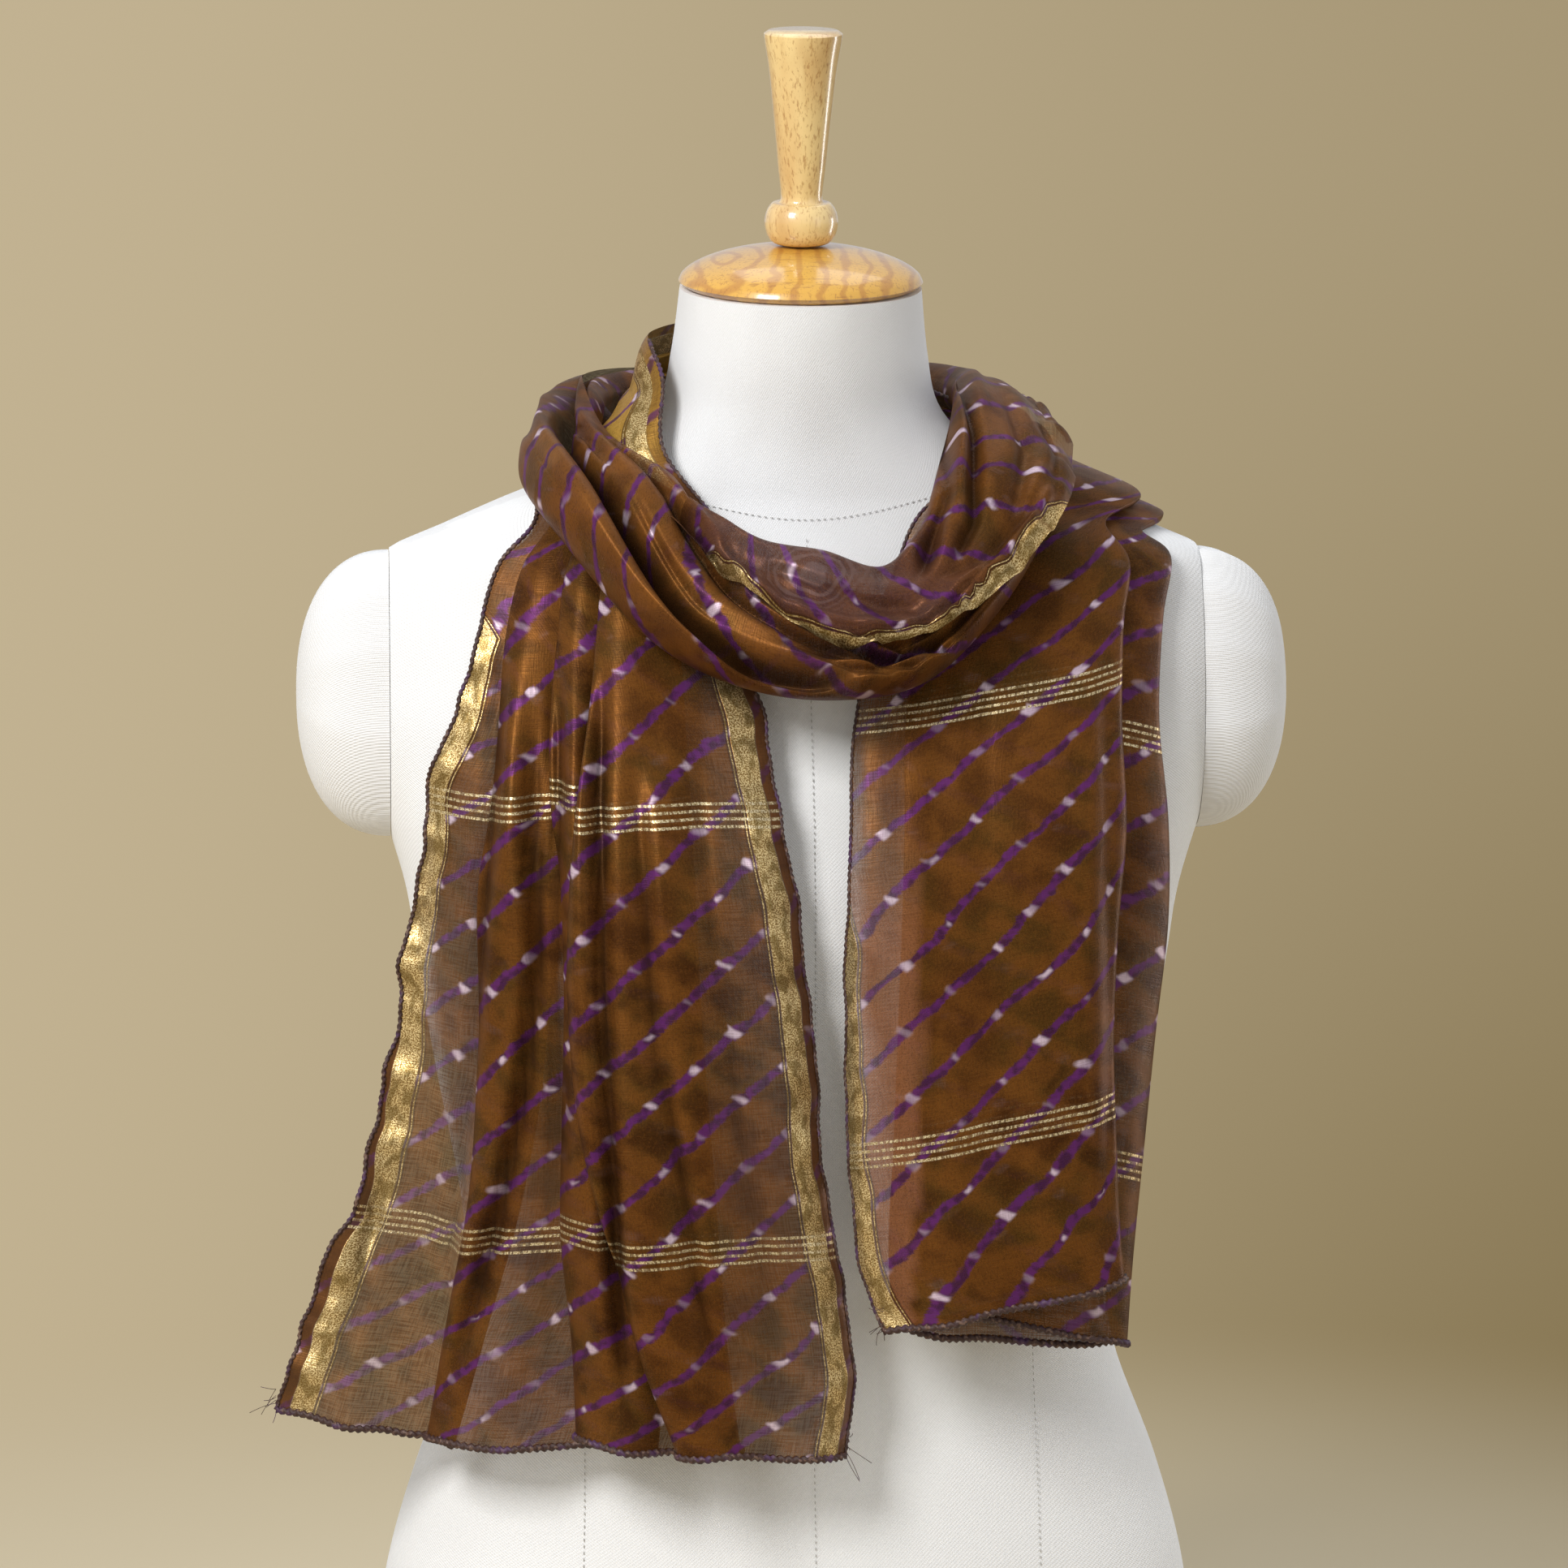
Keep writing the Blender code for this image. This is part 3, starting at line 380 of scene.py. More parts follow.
# How much of a border is turned under: height above the hem and amount, both in mm.
LEFT_TURNED = ((0, 0), (90, 0.5), (150, 3), (210, 6), (250, 8), (280, 6), (310, 8), (345, 5),
               (370, 9), (395, 8), (412, 26), (700, 26))
RIGHT_TURNED = ((0, 6), (60, 9), (140, 10), (190, 13), (225, 25), (700, 25))
LOOP_TURNED = ((0, 26), (330, 26), (345, 12), (362, 11), (374, 16), (392, 16), (404, 12), (424, 13),
               (440, 15), (462, 13), (490, 11), (520, 9), (540, 11), (556, 22), (570, 26), (900, 26))
WIDTH = 0.50             # the stole's flat width
BAND_HEIGHTS = (0.0985, 0.3080)   # first of the four zari lines, up from the left hem
RIGHT_LOWER = 0.0185     # the right end's lines lie lower by this
LINE_PITCH = 0.0322      # from one purple line to the next, along the cloth
LINE_SLOPE = 0.74        # rise of a line along the cloth for each metre across
LINE_HALF = 0.0025       # half of a line's width, measured along the cloth
MARK_HALF = 0.0023       # half of an undyed mark's length, in the same way
BORDER = (0.0070, 0.0190)   # the gold strip, in from the edge
RULE = 0.0204            # thin gold line beside it
ZARI_PITCH = 0.0037
ZARI_HALF = 0.0007
OPACITY = 0.83           # of one layer of the silk
# Where two sheer layers of the loop make rings: middle, stretch, width and reach.
MOIRE_MIDDLE = (0.000, -0.145, 0.625)
MOIRE_STRETCH = (0.85, 0.5, 1.35)
MOIRE_WIDTH = 0.0044
MOIRE_REACH = 0.028
COLOURS = {
    "brown": (0.108, 0.038, 0.0085),
    "orange": (0.185, 0.067, 0.0125),
    "olive": (0.098, 0.046, 0.0095),
    "dark": (0.040, 0.0130, 0.0040),
    "purple": (0.125, 0.022, 0.165),
    "plum": (0.055, 0.012, 0.070),
    "mark": (0.74, 0.58, 0.68),
    # painted light: one layer painted lighter, as if lit canvas shone through it
    "lone_backlit": (0.40, 0.162, 0.080),       # one layer of cloth with light behind it
    # painted highlight colours: rust on the loop's crests, ochre for the left end's dye painted brighter as
    # if lit
    "rust_highlight": (0.60, 0.20, 0.060),
    "ochre_lit": (0.62, 0.36, 0.06),
    "mauve": (0.105, 0.050, 0.060),
    "rings": (0.24, 0.16, 0.15),
    "selvedge": (0.085, 0.030, 0.010),
    # painted shade for the bottom of creases and the pocket by the neck
    "crease": (0.012, 0.004, 0.002),
    "shine": (0.62, 0.34, 0.15),
    "sheen": (1.0, 0.62, 0.36),
    "gold": (0.80, 0.62, 0.31),
    "gold_dull": (0.25, 0.145, 0.040),
    "gold_dark": (0.17, 0.105, 0.025),
    "zari": (0.78, 0.66, 0.42),
    "zari_dull": (0.30, 0.20, 0.075),
    "hem": (0.045, 0.018, 0.014),
    # painted glints on the overlock thread
    "hem_glint": (0.15, 0.085, 0.06),
    "hem_violet": (0.07, 0.022, 0.10),
    "yellow": (0.62, 0.40, 0.05),
    "yellow_light": (0.75, 0.56, 0.12),
    "canvas": (0.885, 0.885, 0.885),
    "canvas_worn": (0.82, 0.815, 0.81),
    "canvas_dark": (0.45, 0.44, 0.42),
    "seam": (0.40, 0.39, 0.37),
    "seam_light": (0.56, 0.55, 0.53),
    "cap_wood": (0.70, 0.385, 0.06),
    "handle_wood": (0.86, 0.64, 0.29),
    "wood_ring": (0.44, 0.18, 0.035),
    "wood_fleck": (0.34, 0.13, 0.03),
    "grain": (0.36, 0.15, 0.030),
    "floor": (0.62, 0.53, 0.37),
    "floor_dim": (0.58, 0.49, 0.33),
    "backdrop": (0.545, 0.450, 0.290),
    "backdrop_dim": (0.205, 0.150, 0.062),
    "black": (0.0, 0.0, 0.0),
}

# The camera looks at AIM from EYE; the floor lies just below the form.
AIM = Vector((-0.0046, 0.0, 0.51))
AZIMUTH, ELEVATION, DISTANCE = math.radians(4.0), math.radians(6.0), 3.0
EYE = AIM + DISTANCE * Vector((-math.sin(AZIMUTH) * math.cos(ELEVATION),
                               -math.cos(AZIMUTH) * math.cos(ELEVATION), math.sin(ELEVATION)))
FLOOR_REACH, FLOOR_Z = 60.0, -0.0005
LAMP_AIM = (0.0, 0.0, 0.5)
LAMPS = (
    # name, place, width, height, watts
    ("key", (-1.65, -2.3, 2.3), 1.0, 1.2, 92),
    ("fill", (2.1, -1.8, 0.9), 1.0, 1.6, 4),
    ("strip", (2.05, 0.75, 0.45), 0.35, 1.3, 11),
    ("top", (0.2, 0.9, 2.6), 1.5, 1.0, 6),
)


# ---------------------------------------------------------------- small helpers
def mix(a, b, t):
    return a + (b - a) * t


def soft(t):
    """From 0 at 0 to 1 at 1, level at both."""
    t = np.clip(t, 0.0, 1.0)
    return t * t * (3 - 2 * t)


def unit(v):
    v = np.asarray(v, dtype=float)
    return v / np.maximum(np.linalg.norm(v, axis=-1, keepdims=True), 1e-9)


def stacked(*coordinates):
    """Points from their coordinates, each an array or a number."""
    return np.stack(np.broadcast_arrays(*coordinates), axis=-1)


def run(points):
    """Distance along a line of points from its first, or down each column of a grid."""
    steps = np.linalg.norm(np.diff(points, axis=0), axis=-1)
    return np.concatenate([np.zeros_like(steps[:1]), np.cumsum(steps, axis=0)])


def across_columns(grid):
    """Distance of each point from the first column, along its row."""
    return run(grid.swapaxes(0, 1)).T


def points_at(line, places):
    """Points of a line at some distances along it."""
    distances = run(line)
    return np.stack([np.interp(places, distances, line[:, k]) for k in range(3)], axis=1)


def even_path(line, step):
    """The same line with points step apart."""
    line = np.array(line)
    length = run(line)[-1]
    return points_at(line, np.linspace(0, length, max(4, int(length / step))))


def spline(rows, counts, closed=False):
    """Catmull-Rom curve through the rows, with counts points to each gap."""
    rows = np.array(rows)
    last = len(rows) - 1
    parts = []
    for i, count in enumerate(counts):
        near = [(i + k) % len(rows) if closed else min(max(i + k, 0), last) for k in (-1, 0, 1, 2)]
        a, b, c, d = rows[near]
        t = np.linspace(0, 1, count, endpoint=False).reshape([-1] + [1] * b.ndim)
        parts.append(0.5 * (2 * b + (c - a) * t + (2 * a - 5 * b + 4 * c - d) * t ** 2
                            + (3 * b - a - 3 * c + d) * t ** 3))
    return np.concatenate(parts if closed else parts + [rows[-1:]])


def gap_counts(lengths, step, least):
    """How many points of about one step each gap takes."""
    return np.maximum(least, np.round(np.array(lengths) / step)).astype(int)


def soft_path(stops, samples):
    """Quadratic B-spline on the stops: it starts and ends on them and rounds each corner."""
    stops = np.array(stops)
    knots = (stops[:-1] + stops[1:]) / 2
    knots[0], knots[-1] = stops[0], stops[-1]
    t = (np.arange(1, samples + 1) / samples)[:, None]
    parts = [(1 - t) ** 2 * a + 2 * t * (1 - t) * b + t * t * c
             for a, b, c in zip(knots, stops[1:-1], knots[1:])]
    return np.concatenate([stops[:1]] + parts)


def waves(t, table, seed):
    """Sum of sine waves of t; table holds (length, height) pairs."""
    rng = np.random.default_rng(seed)
    total = 0.0
    for length, height in table:
        total = total + height * np.sin(2 * np.pi * t / length + rng.uniform(0, 6.28))
    return total


# ---------------------------------------------------------------- the form's surface
RINGS = np.array(FORM_RINGS) * (MM, MM, MM, MM, 1)


def form_ring(z):
    """Half width, front depth, back depth and power of the form at height z, in metres."""
    return [np.interp(z, RINGS[:, 0], RINGS[:, k]) for k in range(1, 5)]


def form_centre(z):
    """Centre of the form's ring at height z: the lean, and the neck's forward tilt."""
    return LEAN * (z - LEAN_FROM), -NECK_LEAN * np.maximum(0.0, z - NECK_BEND)


def form_value(p):
    """Below 0 inside the form, above 0 outside."""
    half, front, back, power = form_ring(p[..., 2])
    cx, cy = form_centre(p[..., 2])
    x = np.abs(p[..., 0] - cx) / half
    y = np.abs(p[..., 1] - cy) / np.where(p[..., 1] > cy, back, front)
    return (x ** power + y ** power) ** (1.0 / power) - 1.0


def form_normal(p, step=0.003):
    """Direction straight out of the form near each point."""
    return unit(np.stack([form_value(p + step * axis) - form_value(p - step * axis)
                          for axis in np.eye(3)], axis=-1))


def form_round(angle, z, proud=0.0):
    """Points on the form, or proud of it; angle 0 is the front, 90 degrees the left."""
    half, front, back, power = form_ring(z)
    cx, cy = form_centre(z)
    side = np.abs(np.sin(angle)) / half
    depth = np.abs(np.cos(angle)) / np.where(np.cos(angle) > 0, front, back)
    reach = proud + 1.0 / (side ** power + depth ** power) ** (1.0 / power)
    return stacked(cx - reach * np.sin(angle), cy - reach * np.cos(angle), z)


def form_front(x, z):
    """y of the form's front at x and z, or 0 beside the form."""
    half, front, _, power = form_ring(z)
    cx, cy = form_centre(z)
    across = np.minimum(np.abs(x - cx) / half, 1.0)
    return np.where(across < 1.0, cy - front * (1.0 - across ** power) ** (1.0 / power), 0.0)


def hang_front(x, z):
    """y of cloth that comes down the form's front and then hangs free below the bust."""
    past = np.maximum(0.0, np.abs(x) - HANG_EDGE)
    reach = np.minimum(np.abs(x), HANG_EDGE) + np.minimum(past * HANG_ROUND, HANG_LAST)
    y = np.zeros_like(x)
    for rise in np.arange(0.0, HANG_TOP - z.min() + HANG_STEP, HANG_STEP):
        level = z + rise
        front = form_front(np.copysign(reach, x), level)
        y = np.where(level < HANG_TOP, np.minimum(y, front), y)
    return y


# ---------------------------------------------------------------- folded rows of cloth
NEAR_TURN = 0.06         # where on its leg a stop just by a turn counts as lying
LEG_PARTS = np.array((0.0, NEAR_TURN, 0.20, 0.45, 0.72, 1.0 - NEAR_TURN, 1.0))   # stops of a leg
RASTER = 0.002           # step in which the stack of layers is measured
FLUTES = (
    # length over 2 pi in m, drift down the cloth in radians a metre, phase, height share
    (0.0115, 9.0, 0.0, 0.310),
    (0.0190, -6.0, 1.0, 0.186),
)


def folded_stops(turns, bulge):
    """Stops (distance across, height in layers) of a flat-folded section.

    turns: distances across at the ends of each leg, the lowest leg first.  A leg lies one
    layer above all that is below it, and comes down beside it no faster than LAYER_SLOPE.
    Every second leg starts at a fold edge that shows, and swells there by bulge layers."""
    low = min(turns) - RASTER
    count = int((max(turns) - low) / RASTER) + 3
    spots = np.arange(count)
    apart = np.abs(spots[:, None] - spots) * (LAYER_SLOPE * RASTER)
    top = np.full(count, -1.0)
    stops = []
    for leg, (a, b) in enumerate(zip(turns, turns[1:])):
        way = math.copysign(min(FOLD_REACH, abs(b - a) * FOLD_SHARE), b - a)
        places = mix(a, b, LEG_PARTS)
        places[1], places[-2] = a + way, b - way
        resting = (top - apart).max(axis=1)
        cells = ((places - low) / RASTER).astype(int)
        heights = np.array([1.0 + resting[min(near):max(near) + 2].max()
                            for near in (cells[max(k - 1, 0):k + 2] for k in range(len(places)))])
        if leg and leg % 2 == 0:
            heights[1:1 + len(BULGE_PARTS)] += np.array(BULGE_PARTS) * bulge
        stops += list(zip(places, heights))
        for ends in zip(zip(places, heights), zip(places[1:], heights[1:])):
            (x0, h0), (x1, h1) = sorted(ends)
            under = spots[int((x0 - low) / RASTER):int((x1 - low) / RASTER) + 2]
            laid = np.interp(low + under * RASTER, (x0, x1), (h0, h1))
            top[under] = np.maximum(top[under], laid)
    return stops


def section(turns, bulge, top_first):
    """The stops in the order of the turns, whose lowest leg may be the last."""
    if top_first:
        return np.array(folded_stops(turns[::-1], bulge)[::-1])
    return np.array(folded_stops(turns, bulge))


def hanging_points(x, z, depth):
    """Points of a hanging row, depth metres in front of the innermost cloth."""
    slope = (hang_front(x + 0.006, z) - hang_front(x - 0.006, z)) / 0.012
    out = unit(stacked(slope, -1.0, 0.0))
    return stacked(x, hang_front(x, z), z) + out * (CLEAR + WALL / 2 + depth)[:, None]


def hanging_rows(table, hem, samples, top_first):
    """Rows of an end's hanging part, from its hem up."""
    rows = []
    bottom = table[0]
    for index, row in enumerate(table):
        turns = np.array(row[2:-2]) * MM
        pack, flute = row[-2:]
        x, h = section(turns, FOLD_BULGE, top_first).T
        z = mix(row[0], row[1], (x - turns.min()) / np.ptp(turns))
        if index < len(HEM_FADE):
            lift = np.array(hem) - mix(bottom[0], bottom[1], (turns - turns.min()) / np.ptp(turns))
            shares = [mix(start, end, LEG_PARTS) for start, end in zip(lift, lift[1:])]
            z = z + HEM_FADE[index] * np.concatenate(shares)
        x, h, z = soft_path(stacked(x, h, z * MM), samples).T
        wave = sum(height * np.sin(x / length + z * drift + phase)
                   for length, drift, phase, height in FLUTES)
        rows.append(hanging_points(x, z, h * LAYER * pack + flute * MM * (0.5 + wave)))
    return rows


def wrap_rows(table, turns, samples, top_first):
    """Rows of an end where it lies on the shoulder and round the neck."""
    rows = []
    t = np.linspace(0, 1, 25)
    a, h = soft_path(section(np.array(turns) * WRAP_WIDTH, 0.0, top_first), samples).T
    for a_out, z_out, a_in, z_in, pack in table:
        base = form_round(np.radians(mix(a_out, a_in, t)), mix(z_out, z_in, t) * MM)
        points = points_at(base, a / WRAP_WIDTH * run(base)[-1])
        rows.append(points + form_normal(points) * (CLEAR + WALL / 2 + h * LAYER * pack)[:, None])
    return rows


def left_rows(samples):
    table = [row[:2] + tuple(row[2 + k] for k in LEFT_TURNS) + row[-2:] for row in LEFT_ROWS]
    top = np.array(table[-1][2:-2])
    rows = hanging_rows(table, LEFT_HEM, samples, False)
    return rows + wrap_rows(LEFT_WRAP, (top - top[0]) / (top[-1] - top[0]), samples, False)


def right_rows(samples):
    top = np.array(RIGHT_ROWS[-1][2:-2])
    rows = hanging_rows(RIGHT_ROWS, RIGHT_HEM, samples, True)
    return rows + wrap_rows(RIGHT_WRAP, 1.0 - (top - top.min()) / np.ptp(top), samples, True)


def loop_stops(flap, rib, folds, slide):
    """Section of the loop: edge, flap, rim, inside, bottom turn, then the folds back up."""
    stops = []
    for a, lift in FLAP_RIBS:
        over = max(0.0, flap * a - FLAP_ROUND)
        stops.append((flap * a, FLAP_DEPTH + rib * lift - FLAP_FALL * over))
    stops += LOOP_TURN
    for a, d in LOOP_FOLDS:
        along = a + slide * math.sin(math.pi * a)
        stops.append((min(LOOP_END, along), mix(FOLD_LEVEL, d, folds) * (1.0 - RIB_PRESS * rib)))
    return np.array(stops)


def dressed_stops(stops, tuck):
    """The section's stops with the flap's edge pushed under the last folds."""
    flap = len(FLAP_RIBS)
    under = stops.copy()
    share = np.arange(flap) / flap
    under[:flap, 0] = 0.26 * (1 - share)
    under[:flap, 1] = 0.62 + 0.1 * share
    under[flap, 1] = 0.66
    under[-2] = (0.12, 1.02)
    under[-1] = (-0.035, 0.86)
    return mix(stops, under, tuck)


def loop_frames():
    """For each row: rim, across, out (scaled by the depth), depth and the section's a and d."""
    table, look = np.array(LOOP_ROWS), np.array(LOOP_LOOK)
    bottom, rim = table[:, 0:3] * MM, table[:, 3:6] * MM
    rim[:, (0, 2)] += look[:, 2:4] * MM
    bottom[:, (0, 2)] += look[:, 4:6] * MM
    middle = (bottom + rim) / 2
    forward = np.roll(middle, -1, axis=0) - np.roll(middle, 1, axis=0)
    depth = table[:, 6:7] * MM
    out = unit(np.cross(unit(bottom - rim), unit(forward))) * depth
    turns = 2 * np.pi * (np.arange(len(table)) - LOOP_SLIDE_ROW) / len(table)
    sections = []
    for (flap, rib, folds), (tuck, calm), slide in zip(table[:, 7:], look[:, :2], LOOP_SLIDE * np.sin(turns)):
        stops = dressed_stops(loop_stops(flap, rib, folds * calm, slide), tuck)
        sections.append(soft_path(stops, LOOP_SAMPLES).T.ravel())
    return np.hstack([rim, bottom - rim, out, depth, sections])


# ---------------------------------------------------------------- sheets and solids
def crease_depth(grid, depth, width, side, line):
    """How far a crease moves each point outwards."""
    spots = grid[..., (0, 2)]
    line = np.array(line) * MM
    starts = run(line)
    best = np.full(spots.shape[:2], 1e9)
    signed = np.zeros_like(best)
    place = np.zeros_like(best)
    for p, q, start, end in zip(line, line[1:], starts, starts[1:]):
        way = (q - p) / (end - start)
        t = np.clip((spots - p) @ way, 0, end - start)
        dx, dz = np.moveaxis(spots - p - t[..., None] * way, -1, 0)
        far = np.hypot(dx, dz)
        near = far < best
        best = np.where(near, far, best)
        signed = np.where(near, far * np.sign(way[0] * dz - way[1] * dx), signed)
        place = np.where(near, (start + t) / starts[-1], place)
    q = signed * side / (width * MM)
    fade = soft(place / 0.18) * soft((1 - place) / 0.18)
    return depth * MM * fade * (0.6 * np.exp(-((q - 1.0) * 1.25) ** 2) - np.exp(-(q * 2.4) ** 2))


def hollow(depth):
    """How much of the light the bottom of a crease loses, as a share below 0."""
    return -soft(-depth / HOLLOW_DEPTH)


def turned_edge(heights, table):
    """How much of the border is turned under at each height, a little uneven."""
    places, amounts = (np.array(column) * MM for column in zip(*table))
    amount = np.interp(heights, places, amounts)
    wander = waves(heights, TURN_WAVES, 5) * MM
    return np.maximum(0.0, amount + wander * np.minimum(amount / 0.004, 1.0))


def leg_widths(grid, samples, seen, inset):
    """Place across the flat cloth: true on the legs that show, the rest taken up by hidden ones."""
    across = across_columns(grid)
    legs = len(seen)
    ends = [0] + [(7 * i + 6) * samples for i in range(legs - 1)] + [grid.shape[1] - 1]
    spans = [across[:, b] - across[:, a] for a, b in zip(ends, ends[1:])]
    shown = sum(span for span, show in zip(spans, seen) if show)
    hidden = sum(span for span, show in zip(spans, seen) if not show)
    scale = (WIDTH - inset - shown) / hidden
    flat = np.zeros_like(across)
    flat[:, 0] = inset
    for a, b, show in zip(ends, ends[1:], seen):
        gain = across[:, a:b + 1] - across[:, a:a + 1]
        flat[:, a:b + 1] = flat[:, a:a + 1] + (gain if show else gain * scale[:, None])
    return flat


def outward(grid):
    """Straight out of the form's front, the same for every layer at a place."""
    x = grid[..., 0]
    return unit(stacked(np.sign(x) * np.clip(np.abs(x) / 0.20, 0, 1) * 0.35, -1.0, 0.0))


def edge_ruffle(grid, flat, seed, size=1.0):
    """Soft puckers where the stiff gold borders run."""
    side = unit(np.gradient(grid, axis=1))
    u, v = flat[..., 0], flat[..., 1]
    hem_fade = soft(v / 0.02) * soft((RUFFLE_TOP - grid[..., 2]) / 0.06)
    total = grid.copy()
    for far, first in ((u, seed), (WIDTH - u, seed + 1)):
        fade = size * MM * soft(1 - far / RUFFLE_REACH) * hem_fade
        out = waves(v + 0.15 * far, EDGE_OUT, first)
        along = waves(v, EDGE_ALONG, first + 7)
        total += outward(grid) * (fade * out)[..., None] + side * (fade * along)[..., None]
    return total


def hem_lift(grid, flat, seed):
    """Waves of the free hem, fading upwards."""
    x = grid[..., 0]
    fade = HEM_WAVE * np.exp(-flat[..., 1] / HEM_REACH)
    out = waves(x, HEM_OUT, seed) * fade
    drop = waves(x, HEM_DROP, seed + 3) * 0.5 * fade
    return grid + outward(grid) * out[..., None] + stacked(0.0, 0.0, drop)


def clear_of_form(grid, gap=0.0010):
    """Push cloth that a crease has pressed into the form's front back out of it."""
    x, y, z = np.moveaxis(grid, -1, 0)
    limit = form_front(x, z) - gap
    inside = (y > limit) & (y < -0.03) & (z < 0.69)
    grid[..., 1] = np.where(inside, limit, y)
    return grid


def fine_rows(rows):
    """Smooth rows about ROW_STEP apart, through the given ones."""
    grid = np.array(rows)
    lengths = np.linalg.norm(np.diff(grid, axis=0), axis=2).mean(axis=1)
    return spline(grid, gap_counts(lengths, ROW_STEP, 2))


def creased(grid, lower, turned, seen, creases):
    """The grid with its creases, its flat places and how deep each point is creased."""
    up = run(grid)
    across = leg_widths(grid, FALL_SAMPLES, seen, turned_edge(up[:, 0], turned))
    depth = sum(crease_depth(grid, *row) for row in creases) * soft((CREASE_TOP - grid[..., 2]) / 0.05)
    return grid + outward(grid) * depth[..., None], stacked(across, up + lower), depth


def left_cloth():
    """Points of the left end, their flat places and their tones: painted shade at the bottom of creases, and
    the upper part's dye painted brighter, as if lit.
    """
    plain = fine_rows(left_rows(FALL_SAMPLES))
    grid, flat, depth = creased(plain, 0.0, LEFT_TURNED, LEFT_SEEN, LEFT_CREASES)
    grid = edge_ruffle(hem_lift(grid, flat, 11), flat, 21)
    tone = stacked(hollow(depth), soft((flat[..., 1] - OCHRE_FROM) / 0.04))
    return clear_of_form(grid), flat, tone


def right_cloth():
    """The same of the right end, whose front edge hangs as one layer before the others; where it hangs as a
    single layer its tone paints it lighter, as if lit canvas shone through it.
    """
    plain = fine_rows(right_rows(FALL_SAMPLES))
    grid, flat, _ = creased(plain, RIGHT_LOWER, RIGHT_TURNED, RIGHT_SEEN, RIGHT_CREASES)
    x, z = plain[..., 0], plain[..., 2]
    second_edge = x[:, 13 * FALL_SAMPLES][:, None]
    lone_backlit = soft((second_edge - x) / 0.0015) * soft((LONE_TOP - z) / 0.12)
    lone_backlit[:, 6 * FALL_SAMPLES:] = 0.0
    grid = edge_ruffle(hem_lift(grid, flat, 31), flat, 41, 0.7)
    return clear_of_form(grid), flat, stacked(lone_backlit, 0.0)


def loop_cloth():
    """The loop's points, their places on the flat cloth, their tones and each row's station; the tones hold
    painted shade in creases and in the deep fold left of the neck, a painted highlight on the crests in
    front, and the flap's plum.
    """
    frames = loop_frames()
    middle = frames[:, 0:3] + frames[:, 3:6] / 2
    gaps = np.linalg.norm(np.roll(middle, -1, axis=0) - middle, axis=1)
    counts = gap_counts(gaps, LOOP_STEP, 4)
    fine = spline(frames, counts, closed=True)
    station = np.concatenate([i + np.arange(count) / count for i, count in enumerate(counts)])
    cols = (frames.shape[1] - 10) // 2
    rim, across, out = (fine[:, None, k:k + 3] for k in (0, 3, 6))
    depth, a, d = fine[:, 9:10], fine[:, 10:10 + cols], fine[:, 10 + cols:]
    stops = len(FLAP_RIBS) + len(LOOP_TURN) + len(LOOP_FOLDS)
    stop = np.linspace(0, stops - 1, cols)[None, :]
    on_flap = np.where(stop < FLAP_STOP, 1.0, 0.0)
    on_folds = soft((stop - FOLDS_STOP) / 2.0)
    outer = np.clip(on_flap + on_folds, 0, 1)

    def between(low, high, rise, fall):
        """From 0 before one row of the loop to 1, and back to 0 after another."""
        return (soft((station - low) / rise) * soft((high - station) / fall))[:, None]

    lift = np.zeros_like(a)
    for height, width, way in LOOP_RIDGES:
        rows, places = zip(*way)
        along = np.where(station < rows[0], station + len(LOOP_ROWS), station)
        place = np.interp(along, rows, places)[:, None]
        share = soft((along - rows[0]) / RIDGE_FADE) * soft((rows[-1] - along) / RIDGE_FADE)
        lift += height * MM * share[:, None] * np.exp(-((a - place) / width) ** 2)
    d = d + lift * outer / depth
    grid = rim + a[..., None] * across + (d - 0.5)[..., None] * out

    inward = across_columns(grid)
    middle = run(grid).mean(axis=1)
    turned = turned_edge(middle, LOOP_TURNED)
    flat = stacked(WIDTH - turned[:, None] - inward, middle[:, None] + LOOP_START)
    out = out / depth[..., None]
    front = soft((-grid[..., 1] + 0.02) / 0.05)
    total = sum(crease_depth(grid, *row) for row in LOOP_CREASES)
    grid = grid + out * (total * outer * front)[..., None]
    fade = soft(1 - inward / PUCKER_REACH) * between(*PUCKER_ROWS)
    pucker = waves(middle[:, None] + 0.2 * inward, LOOP_PUCKER, 51)
    grid = grid + out * (MM * fade * pucker)[..., None]

    # Painted shade at the bottom of the ridges' and creases' valleys and over the pocket by the neck; a
    # painted highlight on the crests in front.
    row, place, rows_wide, wide = POCKET_SHADE
    pocket_shade = np.exp(-((station - row) / rows_wide) ** 2)[:, None] * np.exp(-((a - place) / wide) ** 2)
    shade = np.minimum(hollow(lift + total), -0.9 * pocket_shade) * outer
    plum = on_flap * between(*PLUM_ROWS)
    crest = np.clip((lift + total) / (6 * MM), 0, 1)
    lit = between(*LIT_ROWS) * on_folds * front
    return grid, flat, stacked(shade, lit * (0.07 + 0.15 * crest) - plum), station


# ---------------------------------------------------------------- the form's outlines
def armhole_outline(side, count):
    """Outline of the form where the armhole plane cuts it, as (y, z) pairs."""
    z = mix(*ARMHOLE_SPAN, (1 - np.cos(np.linspace(0, np.pi, count // 2 + 1))) / 2)
    half, to_front, to_back, power = form_ring(z)
    cx, cy = form_centre(z)
    across = np.minimum(1.0, np.abs(side * ARMHOLE_X - cx) / half)
    share = (1.0 - across ** power) ** (1.0 / power)
    front, back = stacked(cy - to_front * share, z), stacked(cy + to_back * share, z)
    return np.concatenate([front, back[-2:0:-1]])


